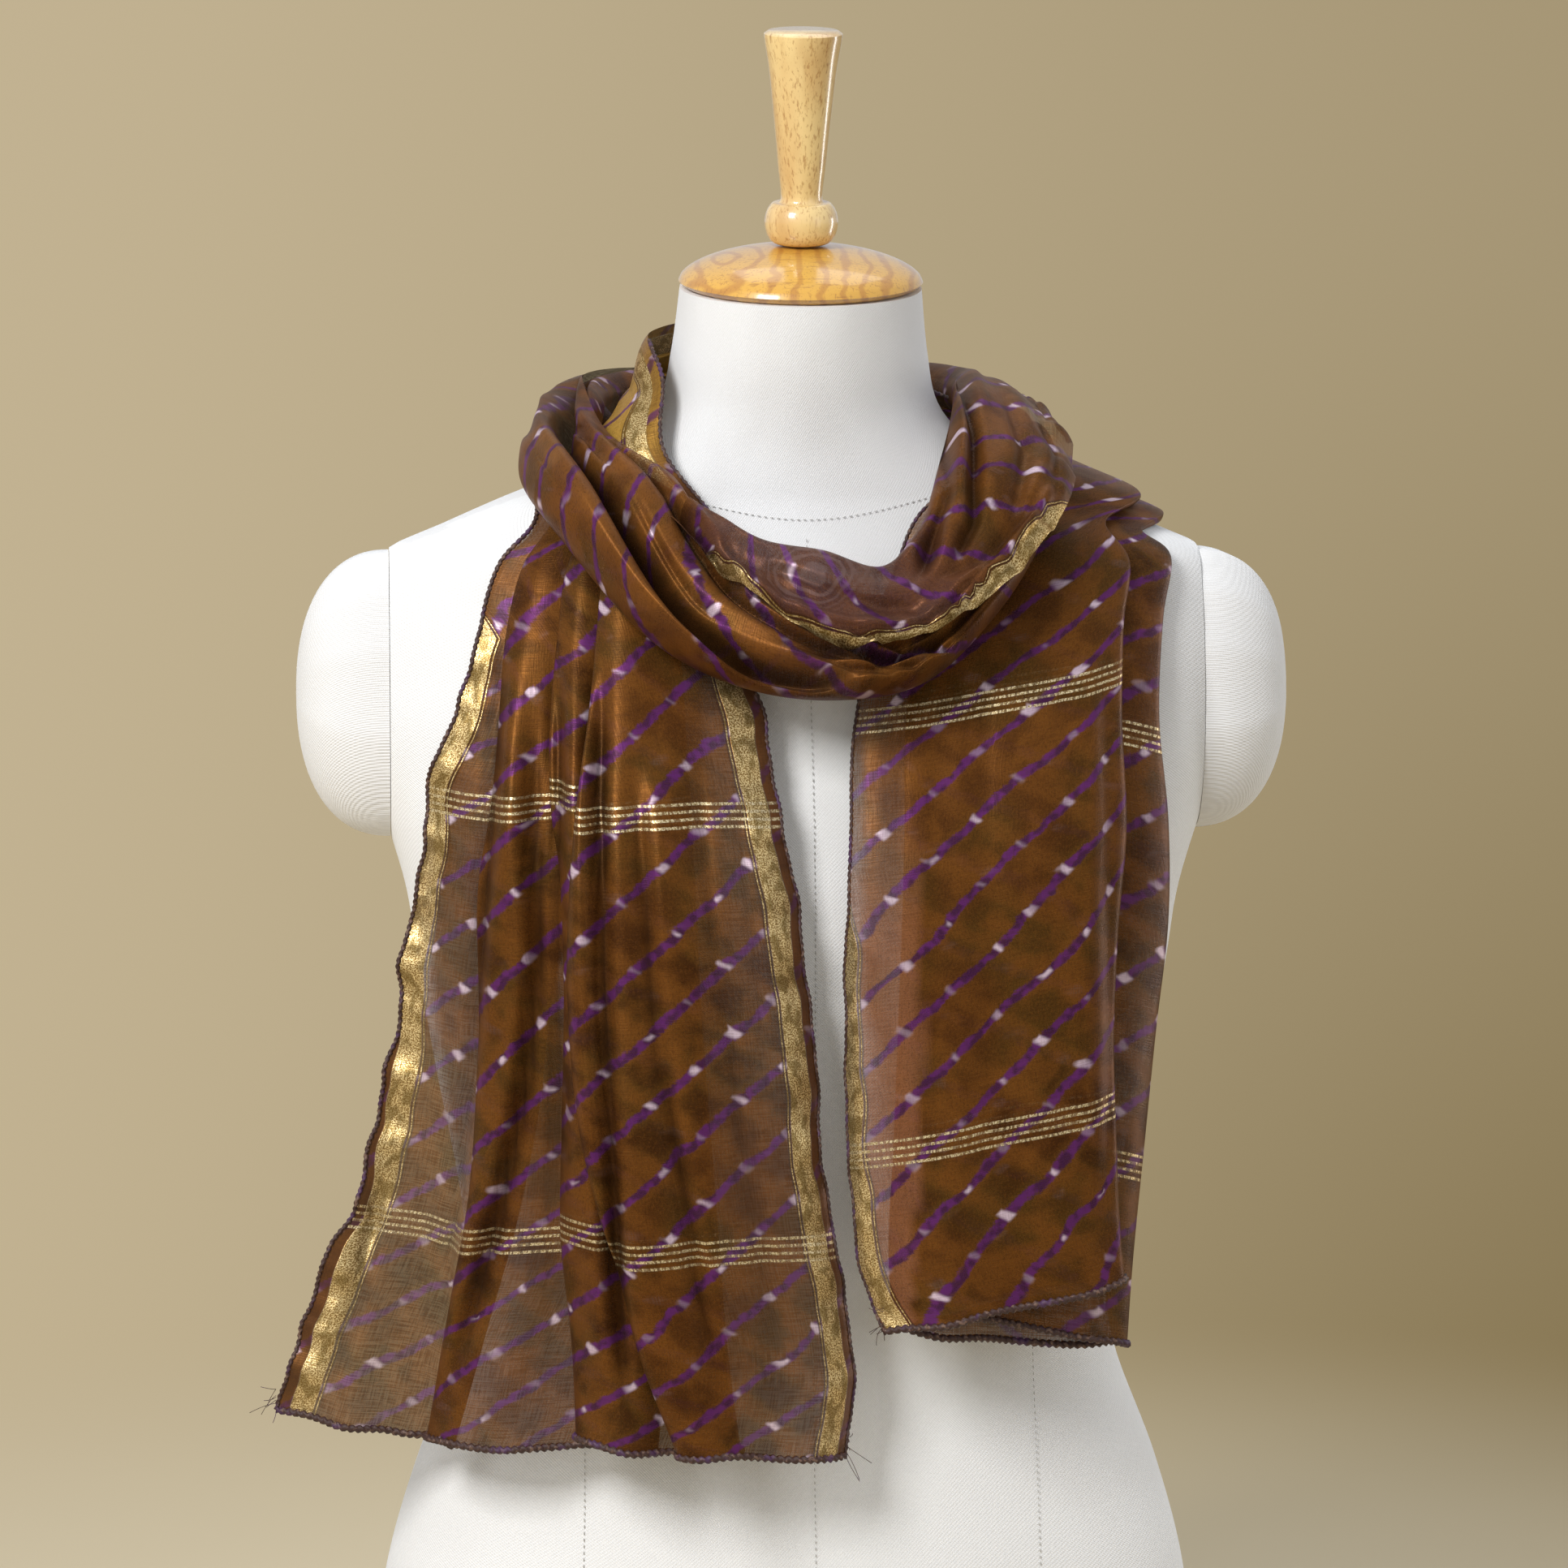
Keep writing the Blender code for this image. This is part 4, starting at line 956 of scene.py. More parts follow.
def cap_profile():
    """The lens of the neck cap, from its top middle down and under."""
    points = [(0.0, CAP_TOP)]
    for i in range(1, 8):
        turn = math.pi / 2 * i / 8
        rise = (CAP_TOP - CAP_RIM) * math.cos(turn) ** 1.15
        points.append((CAP_RADIUS * math.sin(turn), CAP_RIM + rise))
    points += [(CAP_RADIUS, CAP_RIM), (CAP_RADIUS - 0.0015, 0.0015), (CAP_RADIUS - 0.004, 0.0)]
    points.append((0.0, 0.0))
    return points


def handle_profile():
    """Ball and tapered handle, from the top middle down."""
    base = CAP_TOP + SEAM_GAP
    shoulder = HANDLE_TOP - 0.0015
    points = [(0.0, HANDLE_TOP), (HANDLE_RADIUS - 0.002, HANDLE_TOP), (HANDLE_RADIUS, shoulder)]
    for i in range(1, 6):
        radius = mix(HANDLE_RADIUS, HANDLE_WAIST, (i / 5) ** 0.8)
        points.append((radius, mix(shoulder, base + BALL_HEIGHT + 0.0005, i / 5)))
    for i in range(1, 6):
        turn = math.pi * i / 6
        radius = mix(HANDLE_FOOT, BALL_RADIUS, math.sin(turn))
        points.append((radius, base + BALL_HEIGHT / 2 * (1 + math.cos(turn))))
    points += [(HANDLE_FOOT, base), (0.0, base)]
    return points


# ---------------------------------------------------------------- meshes
def mesh_object(name, points, faces, material):
    mesh = bpy.data.meshes.new(name)
    mesh.from_pydata(points, [], faces)
    mesh.materials.append(material)
    mesh.shade_smooth()
    thing = bpy.data.objects.new(name, mesh)
    bpy.context.scene.collection.objects.link(thing)
    return thing


def quads(rows, cols, closed=False):
    """Faces between a grid's points; a closed grid goes round from its last column."""
    index = np.arange(rows * cols).reshape(rows, cols)
    if closed:
        index = np.hstack([index, index[:, :1]])
    return np.stack([index[:-1, :-1], index[:-1, 1:], index[1:, 1:], index[1:, :-1]], axis=-1).reshape(-1, 4)


def lay_map(mesh, name, places):
    """A map on the mesh, from a pair of coordinates for each of its points."""
    corners = np.empty(len(mesh.loops), dtype=np.int32)
    mesh.loops.foreach_get("vertex_index", corners)
    layer = mesh.uv_layers.new(name=name)
    layer.data.foreach_set("uv", places.reshape(-1, 2)[corners].astype(np.float32).ravel())


def grid_object(name, material, grid, flat, tone):
    """A sheet on a grid of points; flat holds each point's place on the flat cloth, in metres."""
    faces = quads(*grid.shape[:2]).tolist()
    thing = mesh_object(name, grid.reshape(-1, 3).tolist(), faces, material)
    lay_map(thing.data, "cloth", flat)
    lay_map(thing.data, "tone", tone)
    return thing


def shell(name, rings, material, tips=(None, None), flip=False):
    """A closed piece on rings of points; each end is flat, or comes to a tip."""
    rows, cols = rings.shape[:2]
    points = rings.reshape(-1, 3).tolist()
    faces = quads(rows, cols, closed=True).tolist()
    first = list(range(cols))[::-1]
    last = list(range((rows - 1) * cols, rows * cols))
    for ring, tip in zip((first, last), tips):
        if tip is None:
            faces.append(ring)
        else:
            faces += [(a, b, len(points)) for a, b in zip(ring, ring[1:] + ring[:1])]
            points.append(tuple(tip))
    if flip:
        faces = [face[::-1] for face in faces]
    return mesh_object(name, points, faces, material)


def tube(name, path, radius, material, sides, pitch=None):
    """A round cord along a path, or one of two strands that turn once in every pitch metres."""
    way = unit(np.gradient(path, axis=0))
    frame_x = np.zeros_like(path)
    frame_x[0] = unit(np.cross(way[0], (0.3, 0.9, 0.2)))
    for i in range(1, len(path)):
        frame_x[i] = unit(frame_x[i - 1] - way[i] * np.dot(frame_x[i - 1], way[i]))
    frame_y = np.cross(way, frame_x)
    turn = np.arange(sides) * 2 * np.pi / sides
    swell = np.ones((len(path), sides))
    if pitch:
        swell += STRAND_SWELL * np.cos(2 * turn - 2 * np.pi * run(path)[:, None] / pitch)
    circle = np.cos(turn)[:, None] * frame_x[:, None] + np.sin(turn)[:, None] * frame_y[:, None]
    return shell(name, path[:, None] + radius * swell[..., None] * circle, material)


def joined(name, things):
    """One object from several."""
    with bpy.context.temp_override(active_object=things[0], selected_editable_objects=things,
                                   selected_objects=things, object=things[0]):
        bpy.ops.object.join()
    things[0].name = name
    return things[0]


# ---------------------------------------------------------------- materials
class Graph:
    """Short hand for building shader nodes; a colour is a socket or a name in COLOURS."""

    def __init__(self, tree, noise_space="3D"):
        self.tree = tree
        self.noise_space = noise_space

    def feed(self, socket, value):
        if isinstance(value, str):
            value = (*COLOURS[value], 1.0)
        if isinstance(value, bpy.types.NodeSocket):
            self.tree.links.new(value, socket)
        else:
            socket.default_value = value

    def node(self, kind, inputs=None, **settings):
        made = self.tree.nodes.new("ShaderNode" + kind)
        for key, value in settings.items():
            setattr(made, key, value)
        for key, value in (inputs or {}).items():
            self.feed(made.inputs[key], value)
        return made

    def math(self, operation, a, b=0.0):
        return self.node("Math", {0: a, 1: b}, operation=operation).outputs[0]

    def plus(self, a, b):
        return self.math("ADD", a, b)

    def minus(self, a, b):
        return self.math("SUBTRACT", a, b)

    def times(self, a, b):
        return self.math("MULTIPLY", a, b)

    def larger(self, a, b):
        return self.math("MAXIMUM", a, b)

    def swing(self, value, size):
        """A value about 0.5 as a shift either way."""
        return self.times(self.minus(value, 0.5), size)

    def vector(self, operation, a, b=(0.0, 0.0, 0.0)):
        return self.node("VectorMath", {0: a, 1: b}, operation=operation)

    def scaled(self, vector, x, y, z=1.0):
        return self.vector("MULTIPLY", vector, (x, y, z)).outputs[0]

    def length(self, vector):
        return self.vector("LENGTH", vector).outputs["Value"]

    def parts(self, vector):
        return list(self.node("SeparateXYZ", {0: vector}).outputs)

    def flat_map(self, name):
        """The two coordinates of one of the maps laid on the mesh, and the pair itself."""
        pair = self.node("UVMap", uv_map=name).outputs[0]
        return self.parts(pair)[:2] + [pair]

    def place(self):
        return self.node("TexCoord").outputs["Object"]

    def mix(self, share, a, b):
        return self.node("Mix", {0: share, 6: a, 7: b}, data_type="RGBA").outputs[2]

    def noise(self, vector, scale, detail=2.0, rough=0.5, twist=0.0):
        inputs = {"Vector": vector, "Scale": scale, "Detail": detail, "Roughness": rough, "Distortion": twist}
        return self.node("TexNoise", inputs, noise_dimensions=self.noise_space).outputs[0]

    def ramp(self, value, low, high, start=0.0, end=1.0):
        inputs = {0: value, 1: low, 2: high, 3: start, 4: end}
        return self.node("MapRange", inputs, interpolation_type="SMOOTHSTEP").outputs[0]

    def near(self, value, middle, half, blur):
        """1 where value is within half of middle, 0 further away."""
        far = self.math("ABSOLUTE", self.minus(value, middle))
        return self.ramp(far, half + blur, half - blur)

    def bump(self, height, strength, distance):
        return self.node("Bump", {"Height": height, "Strength": strength, "Distance": distance}).outputs[0]


class Surface(Graph):
    """The nodes of one material."""

    def __init__(self, name, roughness, noise_space="3D"):
        self.material = bpy.data.materials.new(name)
        self.material.use_nodes = True
        super().__init__(self.material.node_tree, noise_space)
        self.set("Roughness", roughness)

    def set(self, key, value):
        self.feed(self.tree.nodes["Principled BSDF"].inputs[key], value)


def dyed_silk(g, spot, u, v, cloud, fine, thread, tone):
    """Colour of the tie-dyed cloth. tone holds three shares: a single layer painted lighter, as if lit from
    behind; the left end's upper dye painted brighter, as if lit, together with a painted highlight on the
    loop's crests; and the flap's plum.
    """
    lone_backlit, ochre_lit, plum = tone
    wobble = g.plus(g.swing(cloud, 0.0085), g.swing(fine, 0.0024))
    slant = g.times(u, LINE_SLOPE)
    to_line = g.math("PINGPONG", g.plus(g.minus(v, slant), wobble), LINE_PITCH / 2)
    to_cross = g.math("PINGPONG", g.minus(g.plus(v, slant), wobble), LINE_PITCH / 2)

    # Lines one way, undyed marks where the other way crosses them, and darker squares between.
    line = g.ramp(g.plus(to_line, g.swing(thread, 0.0030)), LINE_HALF + 0.0009, LINE_HALF - 0.0008)
    patch = g.noise(spot, 23.0, 0.0)
    uneven = g.plus(to_cross, g.swing(g.noise(spot, 61.0, 0.0), 0.0050))
    mark = g.times(g.ramp(uneven, MARK_HALF + 0.0014, MARK_HALF - 0.0018),
                   g.ramp(g.plus(to_line, wobble), LINE_HALF + 0.0016, LINE_HALF - 0.0010))
    mark = g.times(mark, g.ramp(patch, 0.36, 0.62, 0.25, 1.0))
    band = g.ramp(to_cross, 0.0075, 0.0020)
    square = g.ramp(g.math("MINIMUM", g.plus(to_line, 0.0015), to_cross), 0.0040, 0.0105)
    square = g.times(square, g.ramp(cloud, 0.34, 0.66, 0.80, 0.25))
    square = g.times(square, g.ramp(g.noise(spot, 7.5, 0.0), 0.42, 0.60, 0.25, 1.0))
    grain = g.noise(g.scaled(spot, 900.0, 560.0), 1.0, 1.0, 0.8)

    base = g.mix(g.ramp(patch, 0.35, 0.65), "brown", "olive")
    base = g.mix(g.ramp(cloud, 0.44, 0.66, 0.0, 0.8), base, "orange")
    base = g.mix(g.times(band, 0.45), base, "orange")
    base = g.mix(square, base, "dark")
    # Painted light: the single front layer is painted lighter, as if lit canvas shone through it.
    base = g.mix(g.times(lone_backlit, 0.60), base, "lone_backlit")
    # The left end's ochre dye, painted brighter as if lit, and a painted highlight in rust on the loop's
    # crests.
    base = g.mix(g.times(ochre_lit, 0.80), base, g.mix(ochre_lit, "rust_highlight", "ochre_lit"))
    base = g.mix(g.times(plum, 0.50), base, "mauve")
    base = g.mix(g.ramp(grain, 0.50, 0.72, 0.0, 0.50), base, g.mix(0.6, base, "dark"))
    base = g.mix(g.ramp(grain, 0.48, 0.28, 0.0, 0.30), base, "orange")
    base = g.mix(g.times(line, 0.90), base, g.mix(g.ramp(fine, 0.38, 0.64), "purple", "plum"))
    base = g.mix(mark, base, "mark")
    return g.mix(g.ramp(thread, 0.42, 0.64, 0.0, 0.55), base, g.mix(0.62, base, "dark"))


def moire_rings(g, cloud):
    """Faint rings round one place, where two sheer layers of the loop lie askew."""
    off = g.vector("SUBTRACT", g.place(), MOIRE_MIDDLE).outputs[0]
    far = g.plus(g.length(g.scaled(off, *MOIRE_STRETCH)), g.swing(cloud, 0.011))
    turn = g.times(g.times(far, far), 2 * math.pi / (MOIRE_WIDTH * MOIRE_REACH))
    return g.times(g.ramp(g.math("SINE", turn), -0.2, 0.9), g.ramp(far, MOIRE_REACH, MOIRE_REACH * 0.45))


def zari_lines(g, spot, v):
    """Four zari lines across each end, of bright and dull dashes."""
    stripes = []
    for first in BAND_HEIGHTS:
        local = g.minus(v, first - ZARI_PITCH / 2)
        inside = g.times(g.math("GREATER_THAN", local, 0.0), g.math("LESS_THAN", local, 4 * ZARI_PITCH))
        rung = g.math("PINGPONG", g.plus(local, ZARI_PITCH / 2), ZARI_PITCH / 2)
        stripes.append(g.times(inside, g.ramp(rung, ZARI_HALF + 0.0002, ZARI_HALF - 0.0002)))
    dash = g.noise(g.scaled(spot, 700.0, 130.0), 1.0, 0.0)
    return g.times(g.larger(*stripes), g.ramp(dash, 0.40, 0.50, 0.30, 1.0))


def stole_material(name, moire):
    """Tie-dyed silk and cotton with gold borders and zari bands, drawn from the flat map."""
    g = Surface(name, 0.40, "2D")
    u, v, spot = g.flat_map("cloth")
    first, second, _ = g.flat_map("tone")
    # Tone map, first channel: above 0 a single layer painted lighter, as if lit from behind; below 0 painted
    # shade in creases. Second channel: above 0 dye painted brighter and painted crest highlights; below 0 the
    # flap's plum.
    lone_backlit, crease = g.larger(first, 0.0), g.larger(g.times(first, -1.0), 0.0)
    ochre_lit, plum = g.larger(second, 0.0), g.larger(g.times(second, -1.0), 0.0)
    cloud = g.noise(spot, 36.0, 2.0, 0.65)
    fine = g.noise(spot, 150.0, 1.0, 0.6)
    slub = g.noise(g.scaled(spot, 70.0, 1700.0), 1.0, 1.0, 0.7)
    warp = g.noise(g.scaled(spot, 1500.0, 90.0), 1.0, 0.0)
    thread = g.plus(g.times(slub, 0.65), g.times(warp, 0.35))
    base = dyed_silk(g, spot, u, v, cloud, fine, thread, (lone_backlit, ochre_lit, plum))
    if moire:
        base = g.mix(g.times(moire_rings(g, cloud), 0.28), base, "rings")

    # Borders: the same from each long edge.
    edge = g.math("MINIMUM", u, g.minus(WIDTH, u))
    selvedge = g.ramp(edge, BORDER[0] + 0.0004, BORDER[0] - 0.0004)
    strip = g.near(edge, sum(BORDER) / 2, (BORDER[1] - BORDER[0]) / 2, 0.0003)
    trim = g.larger(strip, g.near(edge, RULE, 0.00030, 0.00015))
    base = g.mix(g.times(selvedge, 0.55), base, "selvedge")
    base = g.mix(g.times(g.near(edge, RULE, 0.0012, 0.0004), 0.75), base, "dark")
    speck = g.noise(spot, 1300.0, 1.0, 0.8)
    crumple = g.noise(g.scaled(spot, 170.0, 105.0), 1.0, 1.0, 0.6)
    gold = g.mix(g.ramp(speck, 0.42, 0.60), "gold_dull", "gold")
    gold = g.mix(g.ramp(crumple, 0.46, 0.66, 0.0, 0.70), gold, "gold_dark")
    base = g.mix(trim, base, gold)

    zari = zari_lines(g, spot, v)
    base = g.mix(zari, base, g.mix(g.ramp(speck, 0.42, 0.54), "zari_dull", "zari"))
    # Painted shade at the bottom of creases and in the pocket by the neck.
    base = g.mix(g.times(crease, 0.75), base, "crease")

    metal = g.larger(trim, zari)
    clear = g.minus(g.ramp(thread, 0.36, 0.66, OPACITY - 0.06, OPACITY + 0.07), g.times(lone_backlit, 0.10))
    height = g.plus(g.times(thread, 0.8), g.times(strip, g.times(crumple, 3.0)))
    g.set("Base Color", base)
    g.set("Metallic", g.plus(g.times(metal, 0.45), 0.24))
    g.set("Roughness", g.ramp(thread, 0.3, 0.7, 0.35, 0.45))
    g.set("Alpha", g.larger(clear, g.times(g.larger(metal, selvedge), 0.97)))
    g.set("Normal", g.bump(height, 0.40, 0.0004))
    g.set("Specular IOR Level", 0.28)
    g.set("Specular Tint", "shine")
    g.set("Sheen Weight", 0.02)
    g.set("Sheen Roughness", 0.40)
    g.set("Sheen Tint", "sheen")
    return g.material


def hem_material():
    g = Surface("overlock_thread", 0.6)
    spot = g.place()
    # Lighter flecks on the thread are painted glints; the violet patches are its own colour.
    base = g.mix(g.ramp(g.noise(spot, 420.0, 2.0, 0.6), 0.52, 0.66), "hem", "hem_glint")
    base = g.mix(g.ramp(g.noise(spot, 90.0), 0.55, 0.66, 0.0, 0.6), base, "hem_violet")
    g.set("Base Color", base)
    g.set("Normal", g.bump(g.noise(spot, 2200.0), 0.5, 0.0002))
    return g.material


def yellow_thread():
    g = Surface("yellow_thread", 0.6)
    g.set("Base Color", g.mix(g.noise(g.place(), 900.0), "yellow", "yellow_light"))
    return g.material


def canvas_material():
    g = Surface("form_canvas", 0.85, "2D")
    u, v, spot = g.flat_map("cloth")
    twill = g.math("SINE", g.times(g.plus(u, v), 2 * math.pi / TWILL))
    cross_twill = g.math("SINE", g.times(g.minus(u, v), 2 * math.pi / CROSS_TWILL))
    weave = g.plus(g.plus(g.times(twill, 0.5), g.times(cross_twill, 0.25)), g.noise(spot, 700.0, 3.0))
    tone = g.mix(g.ramp(g.noise(spot, 9.0, 3.0), 0.35, 0.7), "canvas", "canvas_worn")
    g.set("Base Color", g.mix(g.ramp(weave, -0.6, 1.4, 0.0, 0.20), tone, "canvas_dark"))
    g.set("Normal", g.bump(weave, 0.45, 0.00040))
    g.set("Sheen Weight", 0.15)
    return g.material


def seam_material():
    g = Surface("form_thread", 0.8)
    spot = g.place()
    g.set("Base Color", g.mix(g.noise(spot, 300.0), "seam", "seam_light"))
    g.set("Normal", g.bump(g.noise(spot, 2500.0), 0.3, 0.0001))
    return g.material


def lacquered(g, spot, rings, fibre, pale):
    """Wood with its growth rings and its grain, under a clear coat."""
    base = g.mix(rings, pale, "wood_ring")
    base = g.mix(g.ramp(fibre, 0.55, 0.70, 0.0, 0.55), base, "grain")
    flecks = g.noise(g.scaled(spot, 900.0, 900.0, 190.0), 1.0, 2.0, 0.6)
    g.set("Base Color", g.mix(g.ramp(flecks, 0.56, 0.67, 0.0, 0.50), base, "wood_fleck"))
    g.set("Normal", g.bump(fibre, 0.08, 0.0002))
    g.set("Coat Weight", 0.85)
    g.set("Coat Roughness", 0.10)
    return g.material


def cap_material():
    g = Surface("cap_wood", 0.30)
    spot = g.place()
    bent = g.vector("ADD", spot, (0.035, 0.03, -0.700)).outputs[0]
    inputs = {"Vector": g.scaled(bent, 1.0, 0.50, 2.4), "Scale": 30.0, "Distortion": 6.5,
              "Detail": 2.0, "Detail Scale": 1.0}
    warped = g.node("TexWave", inputs, wave_type="RINGS", rings_direction="Z").outputs[1]
    fibre = g.noise(g.scaled(spot, 60.0, 420.0, 700.0), 1.0, 3.0, 0.6)
    return lacquered(g, spot, g.ramp(warped, 0.62, 0.98, 0.0, 0.62), fibre, "cap_wood")


def handle_material():
    g = Surface("handle_wood", 0.30)
    spot = g.place()
    warped = g.noise(g.scaled(spot, 55.0, 55.0, 7.0), 1.0, 2.0, 0.5, 0.4)
    fibre = g.noise(g.scaled(spot, 520.0, 520.0, 34.0), 1.0, 3.0, 0.7)
    return lacquered(g, spot, g.ramp(warped, 0.35, 0.80, 0.0, 0.62), fibre, "handle_wood")


# ---------------------------------------------------------------- the stole
def finish_piece(thing, nodes=()):
    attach(thing, "root")
    if nodes:
        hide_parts(*nodes)


def cloth_piece(name, node, material, rows, *layers):
    """One stretch of the cloth: the given rows of its points, flat places and tones."""
    thing = grid_object(name, material, *(layer[rows] for layer in layers))
    finish_piece(thing, [node])
    return thing


def edging(name, line, radius, pitch, thread):
    """Overlocked thread along an edge of the cloth."""
    cord = tube(name, even_path(line, EDGING_STEP), radius, thread, 8, pitch)
    finish_piece(cord)
    return cord


def loose_threads(left, right, thread):
    """Frayed ends at three hem corners and one loose yellow thread on the left end."""
    rng = np.random.default_rng(73)
    t = np.linspace(0, 1, 9)[:, None]
    hairs = []
    for corner, side in ((left[0, -1], 1), (left[0, 0], -1), (right[0, 0], -1)):
        for _ in range(7):
            length = rng.uniform(0.005, 0.012)
            way = np.array([side * rng.uniform(-0.2, 1.0), rng.uniform(-0.5, 0.1), rng.uniform(-1.0, 0.1)])
            bend = rng.uniform(-0.5, 0.5, 3)
            start = corner + np.array([0, 0, rng.uniform(0, 0.012)])
            path = start + length * (way * t + bend * t * t)
            hairs.append(tube("hair", path, HAIR_RADIUS, thread, 5))
    finish_piece(joined("stole_frayed_corners", hairs))
    t = np.linspace(0, 1, 40)
    path = stacked(0.016 * t - 0.007, -0.001 * np.sin(9 * t) - 0.0015, 0.003 * np.sin(7 * t) - 0.004 * t)
    loose = tube("stole_loose_thread", left[LOOSE_FROM] + path, LOOSE_RADIUS, yellow_thread(), 5)
    finish_piece(loose)


def build_stole():
    silk = stole_material("stole_silk", False)
    ringed = stole_material("stole_silk_loop", True)
    thread = hem_material()
    left = left_cloth()
    points = left[0]
    low = int(np.argmax(points[:, :, 1].mean(axis=1) > STRAND_FROM))
    fall = cloth_piece("stole_left_fall", "left_fall", silk, slice(low + 1), *left)
    strand = cloth_piece("stole_neck_strand", "neck_strand", silk, slice(low, None), *left)
    hem = edging("stole_left_hem", points[0], 0.00165, 0.0037, thread)
    side = edging("stole_left_outer_edge", points[:low, 0], 0.0010, 0.0034, thread)
    inner = edging("stole_left_inner_edge", points[:low, -1], 0.0009, 0.0034, thread)

    right = right_cloth()
    right_fall = cloth_piece("stole_right_fall", "right_fall", silk, slice(None), *right)
    right_hem = edging("stole_right_hem", right[0][0], 0.00165, 0.0037, thread)
    right_edge = edging("stole_right_front_edge", right[0][:, 0], 0.0008, 0.0034, thread)
    loose_threads(points, right[0], thread)

    *loop, station = loop_cloth()
    first = int(np.argmax(station >= LOOP_BACK_ROWS))
    last = int(np.argmax(station >= len(LOOP_ROWS) - LOOP_BACK_ROWS))
    front = cloth_piece("stole_front_loop", "front_loop", ringed, slice(first, last + 1), *loop)
    rows = list(range(last, len(station))) + list(range(first + 1))
    # Past the row where the loop closes, the cloth's length runs on.
    flat = loop[1]
    length = flat[-1, 0, 1] - flat[0, 0, 1] + 0.0024
    flat[:first + 1, :, 1] += length
    back = cloth_piece("stole_back_loop", "back_loop", silk, rows, *loop)


# ---------------------------------------------------------------- the form
def form_points(segments=200):
    """Rings of points on the form, a few millimetres apart, from the base up."""
    rings = spline(RINGS, gap_counts(np.diff(RINGS[:, 0]), FORM_STEP, 1))
    z, half, front, back, power = (column[:, None] for column in rings.T)
    turn = 2 * np.pi * np.arange(segments) / segments
    c, s = np.cos(turn), np.sin(turn)
    x = np.sign(c) * np.abs(c) ** (2 / power) * half
    y = np.sign(s) * np.abs(s) ** (2 / power) * np.where(s > 0, back, front)
    cx, cy = form_centre(z)
    tilt = math.tan(NECK_TILT) * soft((z - NECK_BEND) / (NECK_TOP - NECK_BEND))
    return stacked(cx + x, cy + y, z + y * tilt)


def build_torso(canvas):
    """The canvas body, cut flat at the two armholes."""
    torso = shell("form_canvas_torso", form_points(), canvas)
    bm = bmesh.new()
    bm.from_mesh(torso.data)
    for side in (-1, 1):
        faces = [face for face in bm.faces if min(v.co.z for v in face.verts) > ARMHOLE_FLOOR]
        edges = dict.fromkeys(edge for face in faces for edge in face.edges)
        upper = list(dict.fromkeys(v for face in faces for v in face.verts)) + list(edges) + faces
        cut = bmesh.ops.bisect_plane(bm, geom=upper, plane_co=(side * ARMHOLE_X, 0, 0),
                                     plane_no=(side, 0, 0), clear_outer=True)
        rim = [e for e in cut["geom_cut"] if isinstance(e, bmesh.types.BMEdge)]
        bmesh.ops.contextual_create(bm, geom=rim)
    layer = bm.loops.layers.uv.new("cloth")
    for face in bm.faces:
        upright = abs(face.normal.z) < 0.9
        for corner in face.loops:
            p = corner.vert.co
            corner[layer].uv = (math.atan2(p.x, -p.y) * 0.12, p.z) if upright else (p.x, p.y)
    bm.to_mesh(torso.data)
    bm.free()
    torso.data.shade_smooth()
    torso.data.set_sharp_from_angle(angle=math.radians(45))
    finish_piece(torso, ["form_torso"])


def build_shoulder(side, canvas):
    """A shoulder cap: a dome that stands on its flat armhole."""
    y, z = armhole_outline(side, 96).T
    cy, cz = y.mean(), z.mean()
    level = np.sin(np.linspace(0, 1, 26) * np.pi / 2)[:-1, None]
    shrink = (1.0 - level ** CAP_POWER) ** (1 / CAP_POWER)
    foot = ARMHOLE_X + SEAM_GAP
    dome = stacked(side * (foot + CAP_REACH * level), cy + (y - cy) * shrink, cz + (z - cz) * shrink)
    tip = (side * (foot + CAP_REACH), cy, cz)
    word = "left" if side < 0 else "right"
    cap = shell("form_canvas_cap_" + word, dome, canvas, (None, tip), flip=side > 0)
    places = np.array([vertex.co[1:] for vertex in cap.data.vertices])
    lay_map(cap.data, "cloth", places)
    cap.data.set_sharp_from_angle(angle=math.radians(60))
    finish_piece(cap, ["form_cap_" + word])


def surface_line(x, z, side):
    """A line just off the form's front (side 1) or back (side -1)."""
    y = form_front(x, z)
    if side < 0:
        _, to_front, to_back, _ = form_ring(z)
        cy = form_centre(z)[1]
        y = cy - (y - cy) * to_back / to_front
    return stacked(x, y - side * SEAM_PROUD, z)


def stitches(name, path, material):
    """A run of short stitches along a path."""
    fine = even_path(path, STITCH_STEP)
    turn = np.arange(5) * 2 * np.pi / 5
    stitch = quads(3, 5, closed=True).tolist() + [[4, 3, 2, 1, 0], [10, 11, 12, 13, 14]]
    points, faces = [], []
    for start in range(0, len(fine) - STITCH_LENGTH - 1, STITCH_PITCH):
        bit = fine[start:start + STITCH_LENGTH + 1]
        way = unit(bit[-1] - bit[0])
        a = unit(np.cross(way, (0.2, 0.1, 0.97) if abs(way[2]) < 0.9 else (1, 0, 0)))
        circle = np.cos(turn)[:, None] * a + np.sin(turn)[:, None] * np.cross(way, a)
        faces += [[len(points) + k for k in face] for face in stitch]
        for middle, share in zip((bit[0], bit[len(bit) // 2], bit[-1]), (0.55, 1.0, 0.55)):
            points += (middle + STITCH_RADIUS * share * circle).tolist()
    return mesh_object(name, points, faces, material)


